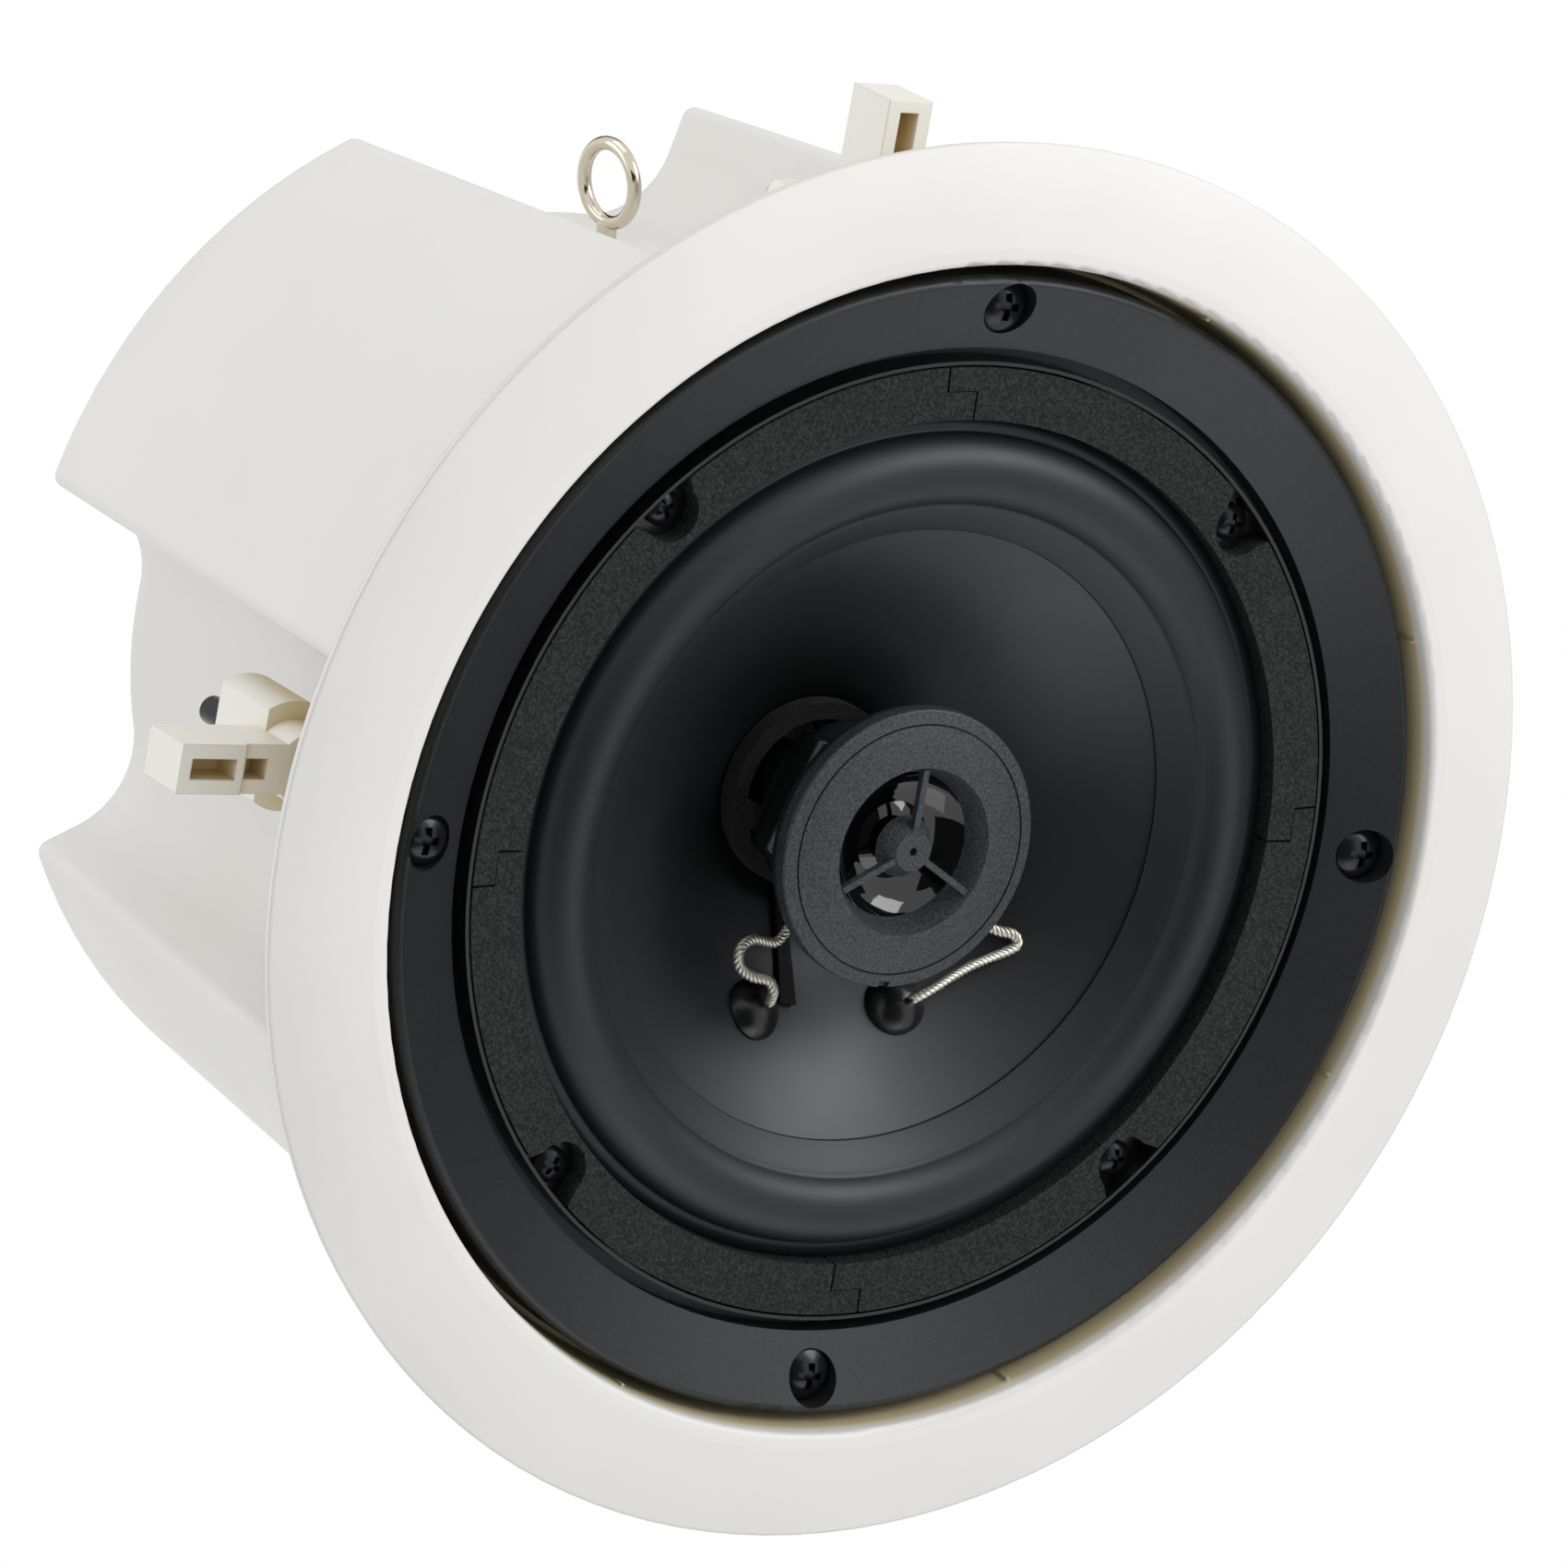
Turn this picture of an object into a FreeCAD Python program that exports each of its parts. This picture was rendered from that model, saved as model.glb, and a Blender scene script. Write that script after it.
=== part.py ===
"""Flush-mount two-way ceiling speaker, as a parametric document in millimetres.

The speaker looks down: its front faces -Z, and Z = 0 is the flange's seat on the ceiling board.
Angles turn from +X towards +Y.
"""
import FreeCAD, Part
import math
import os
import types

import Sketcher

SIZES = {
    # Flange and collar, which set the place of all that they carry
    "flange_radius": 119.0,
    "flange_height": 6.3,
    "flange_crown": 62.0,
    "flange_edge": 1.7,
    "flange_edge_draft": 0.4,
    "flange_overhang": 15.5,
    "land_width": 1.8,
    "channel_seat": 2.5,
    "channel_lip": 6.0,
    "channel_depth": 1.6,
    "collar_wall": 5.6,
    # Well that the baffle sits in
    "mouth_round": 1.0,
    "well_draft": 1.7,
    "well_depth": 8.5,
    "ledge_thickness": 3.0,
    "ledge_gap": 1.1,
    "well_rib_count": 8,
    "well_rib_width": 0.6,
    "well_rib_depth": 0.8,
    "well_rib_setback": 3.0,
    "well_rib_angle": 22.5,
    # Back can and its scalloped recesses
    "can_depth": 136.0,
    "can_taper": 9.7,
    "can_wall": 3.0,
    "can_edge_round": 2.2,
    "recess_angle": 172.5,
    "recess_half_angle": 20.0,
    "recess_depth": 16.9,
    "recess_taper": 3.0,
    "recess_corner": 15.0,
    # Baffle ring
    "baffle_gap": 0.8,
    "baffle_ring_width": 13.0,
    "baffle_face_height": 3.4,
    "baffle_round": 1.5,
    "baffle_step_height": 1.2,
    "baffle_step_gap": 2.1,
    "baffle_wall": 2.6,
    "baffle_bore_gap": 0.7,
    "baffle_seat": 5.7,
    "baffle_post_radius": 5.4,
    # Clamps: screw, arm and nut
    "clamp_count": 4,
    "clamp_inset": 5.7,
    "clamp_angle": 180.0,
    "screw_head_radius": 4.25,
    "screw_head_height": 3.0,
    "screw_head_top": 1.2,
    "screw_shank_radius": 2.4,
    "screw_end": 71.0,
    "screw_gap": 0.4,
    "screw_cross_width": 1.3,
    "screw_cross_length": 4.6,
    "screw_cross_depth": 1.5,
    "boss_radius": 6.2,
    "boss_height": 2.0,
    "arm_front": 36.7,
    "arm_height": 11.3,
    "arm_width": 8.4,
    "arm_reach": 24.7,
    "arm_step": 0.7,
    "arm_step_inset": 11.8,
    "arm_tip_wall": 2.1,
    "tip_pocket_length": 8.3,
    "pocket_web": 2.0,
    "heel_pocket_length": 4.0,
    "arm_pocket_width": 3.5,
    "arm_pocket_depth": 6.0,
    "sleeve_radius": 6.4,
    "hub_setback": 8.3,
    "hub_height": 16.0,
    "hub_radius": 9.3,
    "hub_reach": 5.0,
    "nut_flats": 8.0,
    "nut_height": 4.0,
    # Woofer: gasket, basket, surround, cone and motor
    "strip_count": 4,
    "gasket_margin": 1.0,
    "gasket_width": 8.8,
    "gasket_height": 4.2,
    "gasket_joint_angle": 86.5,
    "gasket_joint_step": 2.1,
    "gasket_tongue": 4.8,
    "gasket_joint_gap": 0.15,
    "driver_screw_inset": 3.8,
    "driver_screw_angle": 44.6,
    "driver_head_radius": 3.1,
    "driver_head_height": 2.0,
    "driver_shank_radius": 1.5,
    "driver_shank_length": 3.6,
    "driver_screw_turn": 31.0,
    "driver_cross_width": 0.9,
    "driver_cross_length": 3.4,
    "driver_cross_depth": 1.2,
    "notch_radius": 4.9,
    "notch_flare": 8.6,
    "basket_rim_height": 4.1,
    "basket_sheet": 1.2,
    "basket_flange_width": 12.1,
    "basket_throat_depth": 13.0,
    "basket_shelf_width": 2.8,
    "basket_shelf_depth": 39.0,
    "basket_cup_gap": 3.7,
    "basket_cup_depth": 48.0,
    "basket_window_count": 6,
    "basket_window_margin": 4.9,
    "basket_window_step": 2.5,
    "basket_window_half_angle": 21.0,
    "surround_edge_gap": 0.2,
    "surround_rim": 2.6,
    "surround_roll_width": 11.8,
    "surround_crown": 6.3,
    "surround_skin": 0.7,
    "surround_lip": 1.1,
    "surround_lip_width": 5.2,
    "glue_gap": 0.2,
    "seat_gap": 0.05,
    "cone_edge_gap": 0.1,
    "cone_edge_height": 3.2,
    "cone_depth": 31.6,
    "cone_curve": 200.0,
    "cone_edge_thickness": 1.1,
    "cone_throat_thickness": 1.4,
    "coil_former_lip": 1.0,
    "coil_former_radius": 12.75,
    "coil_former_wall": 0.3,
    "coil_thickness": 0.7,
    "coil_length": 10.0,
    "pole_radius": 12.3,
    "plate_bore": 14.6,
    "plate_radius": 40.0,
    "plate_thickness": 5.0,
    "magnet_bore": 20.0,
    "magnet_radius": 45.0,
    "magnet_thickness": 17.0,
    "yoke_radius": 42.0,
    "yoke_thickness": 5.0,
    "spider_wave_count": 6,
    "spider_wave_height": 0.9,
    "spider_sheet": 0.5,
    "spider_collar": 3.0,
    "felt_width": 2.8,
    "felt_thickness": 4.0,
    "anchor_circle": 35.7,
    "anchor_left_angle": 110.7,
    "anchor_right_angle": 64.9,
    "anchor_radius": 5.2,
    "anchor_height": 3.2,
    "anchor_lift": 0.4,
    "coil_lead_turn": 11.4,
    "coil_lead_spread": 5.8,
    "coil_lead_height": 0.7,
    # Tweeter on its post
    "bezel_radius": 23.8,
    "bezel_rim_height": 1.7,
    "bezel_rim_slope": 0.4,
    "bezel_back": 1.4,
    "bezel_round": 0.6,
    "bezel_rim_width": 2.3,
    "bezel_groove_width": 0.35,
    "bezel_groove_depth": 0.5,
    "bezel_face_curve": 40.0,
    "bezel_mouth_radius": 14.3,
    "bezel_mouth_height": 3.0,
    "bezel_throat_radius": 12.4,
    "spoke_count": 3,
    "spoke_angle": 30.0,
    "spoke_width": 1.1,
    "spoke_height": 1.3,
    "spoke_setback": 0.3,
    "plug_tip_radius": 3.3,
    "plug_base_radius": 5.3,
    "plug_top": 2.8,
    "plug_base": 0.6,
    "plug_hole_radius": 0.7,
    "notch_width": 2.0,
    "dome_radius": 6.6,
    "dome_height": 1.6,
    "funnel_depth": 2.6,
    "funnel_curve": 9.0,
    "diaphragm_rim": 1.2,
    "diaphragm_film": 0.35,
    "pod_margin": 0.6,
    "pod_rim": 2.0,
    "pod_body_radius": 10.4,
    "pod_length": 12.5,
    "pod_wall": 1.2,
    "tweeter_yoke_length": 5.4,
    "tweeter_magnet_gap": 1.0,
    "mount_radius": 16.0,
    "mount_plate": 1.8,
    "mount_plate_setback": 5.0,
    "mount_hub_radius": 9.2,
    "mount_hub_length": 9.6,
    "post_radius": 6.0,
    "capacitor_radius": 5.0,
    "capacitor_length": 21.0,
    "capacitor_angle": 199.0,
    "capacitor_round": 0.9,
    "tag_left_angle": 114.7,
    "tag_right_angle": 35.0,
    "tag_width": 2.4,
    "tag_thickness": 0.6,
    "tag_reach": 3.9,
    "tag_overlap": 2.5,
    "lead_radius": 0.75,
    "lead_bend_share": 0.45,
    # Safety eyebolt and terminals on the back
    "eye_height": 105.5,
    "eye_wire": 1.2,
    "eye_ring": 6.8,
    "eye_stand_off": 12.2,
    "eye_turn": 8.0,
    "eye_thread_radius": 1.75,
    "eye_hole_gap": 0.15,
    "eye_nut_flats": 6.0,
    "eye_nut_height": 2.6,
    "terminal_length": 58.0,
    "terminal_breadth": 32.0,
    "terminal_plate": 2.5,
    "terminal_corner": 3.0,
    "terminal_block_length": 40.0,
    "terminal_block_breadth": 14.0,
    "terminal_block_height": 9.0,
    "terminal_count": 4,
    "terminal_pitch": 9.0,
    "terminal_hole": 2.2,
    "terminal_screw_pitch": 49.0,
    "terminal_screw_radius": 3.0,
    "terminal_screw_height": 1.8,
    "terminal_shank_radius": 1.3,
}

# Places that follow from the sizes, from the flange inwards
PLACES = {
    "collar_radius": "flange_radius - flange_overhang",
    "channel_inner": "collar_radius + channel_seat",
    "channel_outer": "flange_radius - channel_lip",
    "well_radius": "collar_radius - collar_wall",
    "mouth_radius": "well_radius + well_draft",
    "ledge_back": "well_depth + ledge_thickness",
    "can_back_radius": "collar_radius - can_taper",
    "baffle_radius": "well_radius - baffle_gap",
    "baffle_face_radius": "baffle_radius - baffle_round",
    "baffle_step_radius": "baffle_radius - baffle_ring_width",
    "clamp_circle": "baffle_radius - clamp_inset",
    "recess_floor_front": "clamp_circle - recess_depth",
    "recess_floor_back": "recess_floor_front - recess_taper",
    "hub_front": "arm_front + hub_setback",
    "hub_back": "hub_front + hub_height",
    "basket_radius": "baffle_step_radius - baffle_step_gap",
    "basket_throat": "basket_radius - basket_flange_width",
    "baffle_bore": "basket_throat + baffle_bore_gap",
    "ledge_bore": "basket_throat + ledge_gap",
    "basket_cup_radius": "plate_radius + basket_cup_gap",
    "basket_shelf_radius": "basket_cup_radius + basket_shelf_width",
    "basket_window_outer": "basket_throat - basket_window_margin",
    "basket_window_inner": "basket_shelf_radius + basket_window_step",
    "driver_screw_circle": "basket_radius - driver_screw_inset",
    "gasket_seat": "baffle_seat - basket_sheet",
    "gasket_outer": "basket_radius - gasket_margin",
    "gasket_inner": "gasket_outer - gasket_width",
    "gasket_joint_radius": "gasket_inner + gasket_tongue",
    "surround_outer": "gasket_inner - surround_edge_gap",
    "surround_roll_outer": "surround_outer - surround_rim",
    "surround_roll_inner": "surround_roll_outer - surround_roll_width",
    "cone_radius": "surround_roll_inner - cone_edge_gap",
    "surround_inner": "cone_radius - surround_lip_width",
    "coil_former_outer": "coil_former_radius + coil_former_wall",
    "cone_throat": "cone_edge_height + cone_depth",
    "plate_back": "basket_cup_depth + plate_thickness",
    "magnet_back": "plate_back + magnet_thickness",
    "coil_middle": "basket_cup_depth + plate_thickness / 2",
    "felt_inner": "coil_former_outer + glue_gap",
    "felt_radius": "felt_inner + felt_width",
    "bezel_groove_outer": "bezel_radius - bezel_rim_width",
    "bezel_groove_inner": "bezel_groove_outer - bezel_groove_width",
    "diaphragm_radius": "bezel_throat_radius + diaphragm_rim",
    "pod_radius": "bezel_radius - pod_margin",
    "pod_rim_back": "bezel_back + pod_rim",
    "mount_plate_front": "pod_length + mount_plate_setback",
    "tag_outer": "mount_radius + tag_reach",
    "capacitor_circle": "pod_body_radius + glue_gap + capacitor_radius",
    "capacitor_height": "pod_rim_back + pod_wall + capacitor_radius",
}

doc = FreeCAD.newDocument("CeilingSpeaker")
sheet = doc.addObject("Spreadsheet::Sheet", "Sizes")
cells = {alias: str(number) for alias, number in SIZES.items()}
cells |= {alias: f"={formula}" for alias, formula in PLACES.items()}
for row, (alias, content) in enumerate(cells.items(), start=1):
    sheet.set(f"A{row}", alias)
    sheet.setAlias(f"B{row}", alias)
    sheet.set(f"B{row}", content)
doc.recompute()


class Size:
    """A length or angle that keeps its number together with the sheet formula behind it."""

    def __init__(self, number, formula):
        self.number = float(number)
        self.formula = formula

    def __add__(self, other):
        other = as_size(other)
        return Size(self.number + other.number, f"({self.formula} + {other.formula})")

    def __sub__(self, other):
        other = as_size(other)
        return Size(self.number - other.number, f"({self.formula} - {other.formula})")

    def __mul__(self, other):
        other = as_size(other)
        return Size(self.number * other.number, f"({self.formula} * {other.formula})")

    def __truediv__(self, other):
        other = as_size(other)
        return Size(self.number / other.number, f"({self.formula} / {other.formula})")

    def __neg__(self):
        return Size(-self.number, f"(0 - {self.formula})")

    __radd__ = __add__
    __rmul__ = __mul__

    def __rsub__(self, other):
        return as_size(other) - self

    def __rtruediv__(self, other):
        return as_size(other) / self


def as_size(value):
    if isinstance(value, Size):
        return value
    return Size(value, f"({value})")


def sine(angle):
    return Size(math.sin(math.radians(angle.number)), f"sin({angle.formula} * 1 deg)")


def cosine(angle):
    return Size(math.cos(math.radians(angle.number)), f"cos({angle.formula} * 1 deg)")


def root(value):
    return Size(math.sqrt(value.number), f"sqrt({value.formula})")


def at_angle(radius, angle):
    """The point at a radius and an angle about the speaker's axis."""
    return as_size(radius) * cosine(as_size(angle)), as_size(radius) * sine(as_size(angle))


mm = types.SimpleNamespace(**{alias: Size(sheet.get(alias), f"Sizes.{alias}") for alias in cells})
nodes = []


def vector(x, y):
    return FreeCAD.Vector(as_size(x).number, as_size(y).number, 0)


def new_body(label):
    body = doc.addObject("PartDesign::Body", label)
    body.Label = label
    return body


def node(piece, label):
    """Give a finished piece its own name and put it on the list to write."""
    piece.Label = label
    nodes.append(piece)
    return piece


def origin_of(body, role):
    return next(item for item in body.Origin.OriginFeatures if item.Role == role)


def new_sketch(body, role="XY_Plane", height=0):
    sketch = body.newObject("Sketcher::SketchObject", body.Name + "_sketch")
    sketch.AttachmentSupport = [(origin_of(body, role), "")]
    sketch.MapMode = "FlatFace"
    sketch.setExpression("AttachmentOffset.Base.z", as_size(height).formula)
    return sketch


def pin_point(sketch, geometry, position, x, y):
    """Bind one point of a sketch to its two coordinates."""
    for kind, axis, value in (("DistanceX", -2, as_size(x)), ("DistanceY", -1, as_size(y))):
        if abs(value.number) < 1e-9:
            sketch.addConstraint(Sketcher.Constraint("PointOnObject", geometry, position, axis))
            continue
        index = sketch.addConstraint(Sketcher.Constraint(kind, -1, 1, geometry, position, value.number))
        sketch.setExpression(f"Constraints[{index}]", value.formula)


def arc_between(start, end, radius, turn):
    """The short arc from start to end; turn is 1 for counter-clockwise and -1 for clockwise."""
    chord = end - start
    left = FreeCAD.Vector(-chord.y, chord.x, 0).normalize()
    rise = math.sqrt(max(radius**2 - chord.Length**2 / 4, 0))
    centre = (start + end) * 0.5 + left * rise * turn
    first, last = (start, end) if turn > 0 else (end, start)
    angles = [math.atan2(point.y - centre.y, point.x - centre.x) for point in (first, last)]
    return Part.ArcOfCircle(Part.Circle(centre, FreeCAD.Vector(0, 0, 1), radius), *angles)


def outline(sketch, corners):
    """Draw a closed outline. A corner is (x, y), or (x, y, radius, turn) where an arc leaves it."""
    starts = []
    ends = []
    for index, corner in enumerate(corners):
        following = corners[(index + 1) % len(corners)]
        start = vector(*corner[:2])
        end = vector(*following[:2])
        if len(corner) == 2:
            geometry = sketch.addGeometry(Part.LineSegment(start, end))
            first, last = 1, 2
        else:
            radius, turn = as_size(corner[2]), corner[3]
            geometry = sketch.addGeometry(arc_between(start, end, radius.number, turn))
            first, last = (1, 2) if turn > 0 else (2, 1)
        starts.append((geometry, first))
        ends.append((geometry, last))
    for index, corner in enumerate(corners):
        sketch.addConstraint(Sketcher.Constraint("Coincident", *ends[index - 1], *starts[index]))
        pin_point(sketch, *starts[index], *corner[:2])
        if len(corner) > 2:
            radius = as_size(corner[2])
            place = sketch.addConstraint(Sketcher.Constraint("Radius", starts[index][0], radius.number))
            sketch.setExpression(f"Constraints[{place}]", radius.formula)
    return sketch


def circle(sketch, x, y, radius):
    geometry = sketch.addGeometry(Part.Circle(vector(x, y), FreeCAD.Vector(0, 0, 1), radius.number))
    pin_point(sketch, geometry, 3, x, y)
    place = sketch.addConstraint(Sketcher.Constraint("Radius", geometry, radius.number))
    sketch.setExpression(f"Constraints[{place}]", radius.formula)
    return sketch


def rectangle(sketch, low_x, high_x, low_y, high_y):
    return outline(sketch, [(low_x, low_y), (high_x, low_y), (high_x, high_y), (low_x, high_y)])


def bar(sketch, inner, outer, width, angle):
    """A straight bar that runs outward from one radius to another at an angle."""
    half = width / 2
    turn = as_size(angle)
    corners = [(inner, -half), (outer, -half), (outer, half), (inner, half)]
    return outline(sketch, [(x * cosine(turn) - y * sine(turn), x * sine(turn) + y * cosine(turn))
                            for x, y in corners])


def hexagon(sketch, flats):
    reach = as_size(flats) / math.sqrt(3)
    return outline(sketch, [at_angle(reach, 60 * turn) for turn in range(6)])


def spun(body, corners, spread=360):
    """Turn an outline of (radius, height) corners about the Z axis, evenly about its own plane."""
    sketch = outline(new_sketch(body, "XZ_Plane"), corners)
    feature = body.newObject("PartDesign::Revolution", body.Name + "_turned")
    feature.Profile = sketch
    feature.ReferenceAxis = (sketch, ["V_Axis"])
    feature.Midplane = True
    feature.setExpression("Angle", as_size(spread).formula)
    doc.recompute()
    return feature


def padded(body, sketch, length):
    feature = body.newObject("PartDesign::Pad", body.Name + "_pad")
    feature.Profile = sketch
    feature.setExpression("Length", as_size(length).formula)
    doc.recompute()
    return feature


def pocketed(body, sketch, depth, along_normal=True):
    """Cut a sketch into the body, and make sure that it took something away."""
    before = body.Shape.Volume
    feature = body.newObject("PartDesign::Pocket", body.Name + "_pocket")
    feature.Profile = sketch
    feature.Reversed = along_normal
    feature.setExpression("Length", as_size(depth).formula)
    doc.recompute()
    if body.Shape.Volume >= before:
        raise RuntimeError(f"{feature.Label} cuts nothing")
    return feature


def repeated(body, feature, count):
    """Repeat a feature evenly about the Z axis."""
    pattern = body.newObject("PartDesign::PolarPattern", body.Name + "_pattern")
    pattern.Originals = [feature]
    pattern.Axis = (origin_of(body, "Z_Axis"), [""])
    pattern.Angle = 360
    pattern.setExpression("Occurrences", count.formula)
    body.Tip = pattern
    doc.recompute()
    return pattern


def turn_about_axis(piece, angle):
    piece.Placement = FreeCAD.Placement(FreeCAD.Vector(), FreeCAD.Rotation(FreeCAD.Vector(0, 0, 1), 0))
    piece.setExpression("Placement.Rotation.Angle", as_size(angle).formula)


def stand_at(piece, x, y, z=0):
    for axis, value in zip("xyz", (x, y, z)):
        piece.setExpression(f"Placement.Base.{axis}", as_size(value).formula)


def cut(base, tool, label):
    result = doc.addObject("Part::Cut", label)
    result.Base = base
    result.Tool = tool
    return node(result, label)


# Housing: flange, collar and can, moulded as one

def recess_outline(sketch, floor, wall):
    """A recess centred on +X: radial walls, a round floor and large corners, grown by a wall."""
    side = mm.recess_half_angle
    corner = mm.recess_corner
    reach = mm.flange_radius
    tangent = root(floor * floor + 2 * floor * corner)
    sin, cos = sine(side), cosine(side)
    share = (floor - wall) / (floor + corner)
    mouth_x, mouth_y = reach * cos - wall * sin, reach * sin + wall * cos
    wall_x, wall_y = tangent * cos - wall * sin, tangent * sin + wall * cos
    floor_x, floor_y = (tangent * cos + corner * sin) * share, (tangent * sin - corner * cos) * share
    return outline(sketch, [
        (mouth_x, mouth_y),
        (wall_x, wall_y, corner + wall, 1),
        (floor_x, floor_y, floor - wall, -1),
        (floor_x, -floor_y, corner + wall, 1),
        (wall_x, -wall_y),
        (mouth_x, -mouth_y),
    ])


def cut_recesses(body, wall):
    """Cut the recesses from behind the ledge to past the can's back."""
    back = mm.can_depth + mm.can_wall
    profile = recess_outline(new_sketch(body, height=mm.ledge_back), mm.recess_floor_front, wall)
    section = recess_outline(new_sketch(body, height=back), mm.recess_floor_back, wall)
    recess = body.newObject("PartDesign::SubtractiveLoft", body.Name + "_recess")
    recess.Profile = profile
    recess.Sections = [section]
    recess.Ruled = True
    doc.recompute()
    return repeated(body, recess, mm.clamp_count)


def housing_outside():
    body = new_body("housing_outside")
    land_inner = mm.mouth_radius + mm.mouth_round
    spun(body, [
        (0, mm.well_depth),
        (mm.well_radius, mm.well_depth),
        (mm.mouth_radius, mm.mouth_round - mm.flange_height, mm.mouth_round, 1),
        (land_inner, -mm.flange_height),
        (land_inner + mm.land_width, -mm.flange_height, mm.flange_crown, 1),
        (mm.flange_radius, -mm.flange_edge),
        (mm.flange_radius - mm.flange_edge_draft, 0),
        (mm.channel_outer, 0),
        (mm.channel_outer, -mm.channel_depth),
        (mm.channel_inner, -2 * mm.channel_depth),
        (mm.channel_inner, 0),
        (mm.collar_radius, 0),
        (mm.collar_radius, mm.ledge_back),
        (mm.can_back_radius, mm.can_depth),
        (0, mm.can_depth),
    ])
    cut_recesses(body, as_size(0))
    round_can_edges(body)
    ring = mm.clamp_circle
    turn = mm.clamp_angle - mm.recess_angle
    boss = circle(new_sketch(body, height=mm.ledge_back), *at_angle(ring, turn), mm.boss_radius)
    repeated(body, padded(body, boss, mm.boss_height), mm.clamp_count)
    hole = new_sketch(body, height=mm.well_depth)
    circle(hole, *at_angle(ring, turn), mm.screw_shank_radius + mm.screw_gap)
    repeated(body, pocketed(body, hole, mm.ledge_thickness + mm.boss_height), mm.clamp_count)
    rib_front = mm.well_rib_setback - mm.flange_height
    rib_angle = mm.well_rib_angle - mm.recess_angle
    rib_sketch = bar(new_sketch(body, height=rib_front), mm.well_radius + mm.well_rib_depth,
                     mm.mouth_radius + mm.mouth_round, mm.well_rib_width, rib_angle)
    rib = padded(body, rib_sketch, mm.well_depth - rib_front)
    repeated(body, rib, mm.well_rib_count)
    eye_sketch = new_sketch(body, "XZ_Plane", -mm.recess_floor_front)
    circle(eye_sketch, 0, mm.eye_height, mm.eye_thread_radius + mm.eye_hole_gap)
    pocketed(body, eye_sketch, mm.recess_floor_front / 2)
    opening = new_sketch(body, height=mm.can_depth)
    half_length, half_breadth = mm.terminal_block_length / 2, mm.terminal_block_breadth / 2
    rectangle(opening, -half_length, half_length, -half_breadth, half_breadth)
    pocketed(body, opening, mm.can_wall, along_normal=False)
    pilot = new_sketch(body, height=mm.can_depth)
    for side in (-1, 1):
        circle(pilot, side * mm.terminal_screw_pitch / 2, 0, mm.terminal_shank_radius)
    pocketed(body, pilot, mm.can_wall, along_normal=False)
    turn_about_axis(body, mm.recess_angle)
    return body


def round_can_edges(body):
    """Round the long corners of the recesses and the outline of the can's back."""
    depth = mm.can_depth.number
    names = []
    for number, edge in enumerate(body.Shape.Edges, start=1):
        ends = [vertex.Point for vertex in edge.Vertexes]
        on_back = all(abs(point.z - depth) < 1e-4 for point in ends)
        radii = [math.hypot(point.x, point.y) for point in ends]
        long_corner = (abs(ends[0].z - ends[-1].z) > depth / 2
                       and min(radii) > mm.can_back_radius.number - 1)
        if on_back or long_corner:
            names.append(f"Edge{number}")
    base = body.Tip
    fillet = body.newObject("PartDesign::Fillet", body.Name + "_round")
    fillet.Base = (base, names)
    fillet.setExpression("Radius", mm.can_edge_round.formula)
    body.Tip = fillet
    doc.recompute()
    return fillet


def housing_inside():
    body = new_body("housing_inside")
    spun(body, [
        (0, 0),
        (mm.ledge_bore, 0),
        (mm.ledge_bore, mm.ledge_back),
        (mm.collar_radius - mm.can_wall, mm.ledge_back),
        (mm.can_back_radius - mm.can_wall, mm.can_depth - mm.can_wall),
        (0, mm.can_depth - mm.can_wall),
    ])
    cut_recesses(body, mm.can_wall)
    turn_about_axis(body, mm.recess_angle)
    return body


cut(housing_outside(), housing_inside(), "housing")


# Baffle: black moulded ring, hollow behind, with a post round each clamp screw

def baffle_solid():
    body = new_body("baffle_solid")
    spun(body, [
        (mm.baffle_bore, mm.baffle_seat),
        (mm.baffle_step_radius, mm.baffle_seat),
        (mm.baffle_step_radius, mm.baffle_step_height),
        (mm.baffle_face_radius, -mm.baffle_face_height, mm.baffle_round, 1),
        (mm.baffle_radius, mm.baffle_round - mm.baffle_face_height),
        (mm.baffle_radius, mm.well_depth),
        (mm.baffle_bore, mm.well_depth),
    ])
    ring = mm.clamp_circle
    seat = mm.screw_head_height - mm.screw_head_top
    well = new_sketch(body, height=-mm.baffle_face_height)
    circle(well, ring, 0, mm.screw_head_radius + mm.screw_gap)
    repeated(body, pocketed(body, well, mm.baffle_face_height + seat), mm.clamp_count)
    hole = circle(new_sketch(body, height=0), ring, 0, mm.screw_shank_radius + mm.screw_gap)
    repeated(body, pocketed(body, hole, mm.well_depth), mm.clamp_count)
    pilot = new_sketch(body, height=mm.baffle_seat)
    pilot_radius = mm.driver_shank_radius + mm.seat_gap
    circle(pilot, *at_angle(mm.driver_screw_circle, mm.driver_screw_angle), pilot_radius)
    repeated(body, pocketed(body, pilot, mm.well_depth - mm.baffle_seat), mm.strip_count)
    return body


def baffle_hollow():
    body = new_body("baffle_hollow")
    inner = mm.baffle_step_radius + mm.baffle_wall
    outer = mm.baffle_radius - mm.baffle_wall
    spun(body, [
        (inner, mm.baffle_step_height + mm.baffle_wall),
        (outer, mm.baffle_wall - mm.baffle_face_height),
        (outer, mm.well_depth),
        (inner, mm.well_depth),
    ])
    post = new_sketch(body, height=-mm.baffle_face_height)
    circle(post, mm.clamp_circle, 0, mm.baffle_post_radius)
    repeated(body, pocketed(body, post, mm.baffle_face_height + mm.well_depth), mm.clamp_count)
    return body


cut(baffle_solid(), baffle_hollow(), "baffle")


# Clamps: a screw through the ring carries an arm on its nut

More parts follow.
